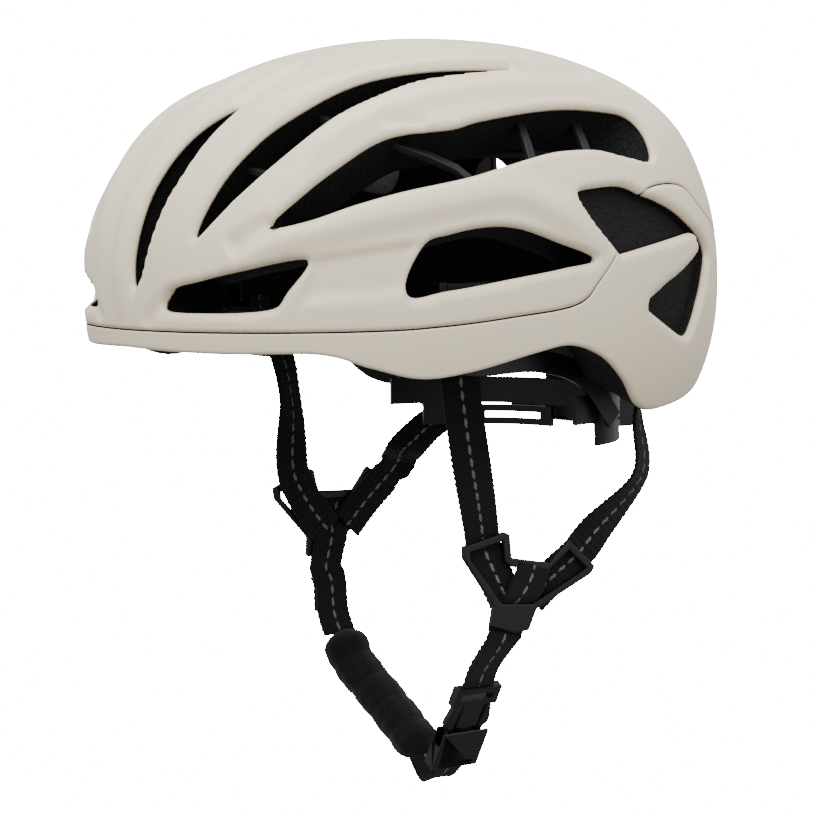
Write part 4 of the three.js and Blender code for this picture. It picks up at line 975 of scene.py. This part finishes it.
# %% [markdown]
# ## Hard plastics
#
# Splitters, buckle, dial, cradle and anchors are moulded, and a mould leaves no sharp edge. They could
# be modelled again, but their solids already have every hole and tooth. So each is a copy of its solid,
# merged, with a small bevel wherever two faces meet at an angle, which catches the light.

# %% Rounded copies of the solids
def copy_of(node):
    source = frame["nodes"][node]
    bm = bmesh.new()
    bm.from_mesh(source.data)
    bm.transform(source.matrix_world)
    bmesh.ops.remove_doubles(bm, verts=bm.verts, dist=0.01 * MM)
    bmesh.ops.dissolve_limit(bm, angle_limit=math.radians(2), verts=bm.verts, edges=bm.edges)
    return bm


def moulded_copy(node, material, width):
    bm = copy_of(node)
    piece = finish_piece(bm, f"{node}_moulded", BODY_OF[node], material, node)
    edge = piece.modifiers.new("edge", "BEVEL")
    edge.width = width * MM
    edge.segments = 3
    edge.limit_method = "ANGLE"
    edge.angle_limit = EDGE_ANGLE
    edge.use_clamp_overlap = True
    piece.data.set_sharp_from_angle(angle=EDGE_ANGLE)
    even = piece.modifiers.new("even", "WEIGHTED_NORMAL")
    even.keep_sharp = False


EDGE_ANGLE = math.radians(28)
bodies = frame["record"]["behaviour"]["bodies"]
BODY_OF = {node: body for body, nodes in bodies.items() for node in nodes}

# %% Every moulded piece, and how round its edges are in mm
for node, width in (("left_splitter", 0.8), ("right_splitter", 0.8), ("buckle_male", 0.8),
                    ("left_prong", 0.8), ("right_prong", 0.8), ("buckle_socket", 0.9),
                    ("dial_knob", 0.35), ("dial_housing", 1.6), ("housing_cover", 0.3),
                    ("cradle", 0.6), ("left_temple_band", 0.5), ("right_temple_band", 0.5),
                    ("left_band_stud", 0.3), ("right_band_stud", 0.3), ("strip_plate", 0.5),
                    ("left_front_anchor", 0.6), ("right_front_anchor", 0.6),
                    ("left_rear_anchor", 0.6), ("right_rear_anchor", 0.6)):
    moulded_copy(node, black_nylon, width)
for node, width in (("brow_arch", 0.7), ("front_arch", 0.7), ("middle_arch", 0.7), ("rear_arch", 0.7),
                    ("height_strip", 0.3)):
    moulded_copy(node, grey_nylon, width)
for node in ("left_rack", "right_rack", "pinion"):      # small toothed pieces keep their own mesh
    frame["nodes"][node].data.materials.clear()
    frame["nodes"][node].data.materials.append(grey_nylon)

# %% [markdown]
# ## Comfort pads
#
# Inside, cut foam covered in brushed cloth keeps the liner off the head. The solids have the right
# outline but hard edges, and sculpting four pads by hand would be slow. A bevel rounds each, and a voxel
# remesh makes an even skin of it.


# %% Comfort pads
def comfort_pad(node):
    bm = copy_of(node)
    piece = finish_piece(bm, f"{node}_cloth", "helmet", padding, node)
    edge = piece.modifiers.new("edge", "BEVEL")
    edge.width = 1.7 * MM
    edge.segments = 4
    edge.limit_method = "ANGLE"
    edge.angle_limit = math.radians(40)
    soft = piece.modifiers.new("soft", "REMESH")
    soft.mode = "VOXEL"
    soft.voxel_size = 0.9 * MM
    soft.use_smooth_shade = True


for node in ("brow_pad", "left_side_pad", "right_side_pad", "crown_pad"):
    comfort_pad(node)

# %% [markdown]
# ## Studio
#
# A product view has no horizon, and soft light that shows form without hard shadows. A floor would
# catch a shadow and throw light up under the brim, so there is none, and the world is the white ground.
# Large area lights stand for softboxes: a key above the front left, one on top, and a weak one at the
# side towards the back. The camera's view is narrow, as a product lens's is.


# %% Lights
def soft_light(name, place, aim, size, power):
    light = bpy.data.lights.new(name, "AREA")
    light.size = size
    light.energy = power
    lamp = bpy.data.objects.new(name, light)
    lamp.location = place
    lamp.rotation_euler = (Vector(aim) - Vector(place)).to_track_quat("-Z", "Y").to_euler()
    bpy.context.collection.objects.link(lamp)


def studio():
    # The world is white where the camera sees it. As a light it is far weaker, and dimmer from below.
    world = bpy.data.worlds.new("studio")
    world.use_nodes = True
    tree = world.node_tree
    sky = tree.nodes["Background"]
    spot = add_node(tree, "ShaderNodeTexCoord").outputs["Generated"]
    high = add_node(tree, "ShaderNodeSeparateXYZ", inputs={"Vector": spot}).outputs["Z"]
    light = add_node(tree, "ShaderNodeMapRange",
                     inputs={"Value": high, "From Min": -0.6, "From Max": 0.5,
                             "To Min": 0.32, "To Max": 1.2})
    seen = add_node(tree, "ShaderNodeLightPath").outputs["Is Camera Ray"]
    power = add_node(tree, "ShaderNodeMix", {"data_type": "FLOAT"},
                     {"Factor": seen, "A": light.outputs["Result"], "B": 40.0})
    tree.links.new(power.outputs["Result"], sky.inputs["Strength"])
    sky.inputs["Color"].default_value = (1, 1, 1, 1)
    bpy.context.scene.world = world
    soft_light("key", (0.9, -1.3, 1.5), (0, 0, 0.02), 1.1, 38)
    soft_light("top", (-0.2, 0.2, 1.7), (0, 0, 0), 1.4, 24)
    soft_light("side", (1.6, 0.7, 0.5), (0, 0, -0.02), 1.0, 6)


studio()
print("lights", [light.name for light in bpy.data.lights])

# %% Camera
VIEW_ANGLES = 53.13, 5.28, -0.36        # degrees: round from the front, up, and roll
VIEW_AIM, VIEW_AWAY = (0, 1.4, -31.8), 0.9987       # mm and m


def camera():
    turn, up, roll = map(math.radians, VIEW_ANGLES)
    away = Vector((math.sin(turn) * math.cos(up), -math.cos(turn) * math.cos(up), math.sin(up)))
    aim = Vector(VIEW_AIM) * MM
    data = bpy.data.cameras.new("camera")
    data.angle = math.radians(20)
    data.clip_start = 0.02
    made = bpy.data.objects.new("camera", data)
    made.location = aim + away * VIEW_AWAY
    made.rotation_mode = "QUATERNION"
    turned = (-away).to_track_quat("-Z", "Y")
    made.rotation_quaternion = turned @ Matrix.Rotation(roll, 4, "Z").to_quaternion()
    bpy.context.collection.objects.link(made)
    bpy.context.scene.camera = made


camera()
print("camera at", [round(c, 4) for c in bpy.context.scene.camera.location])
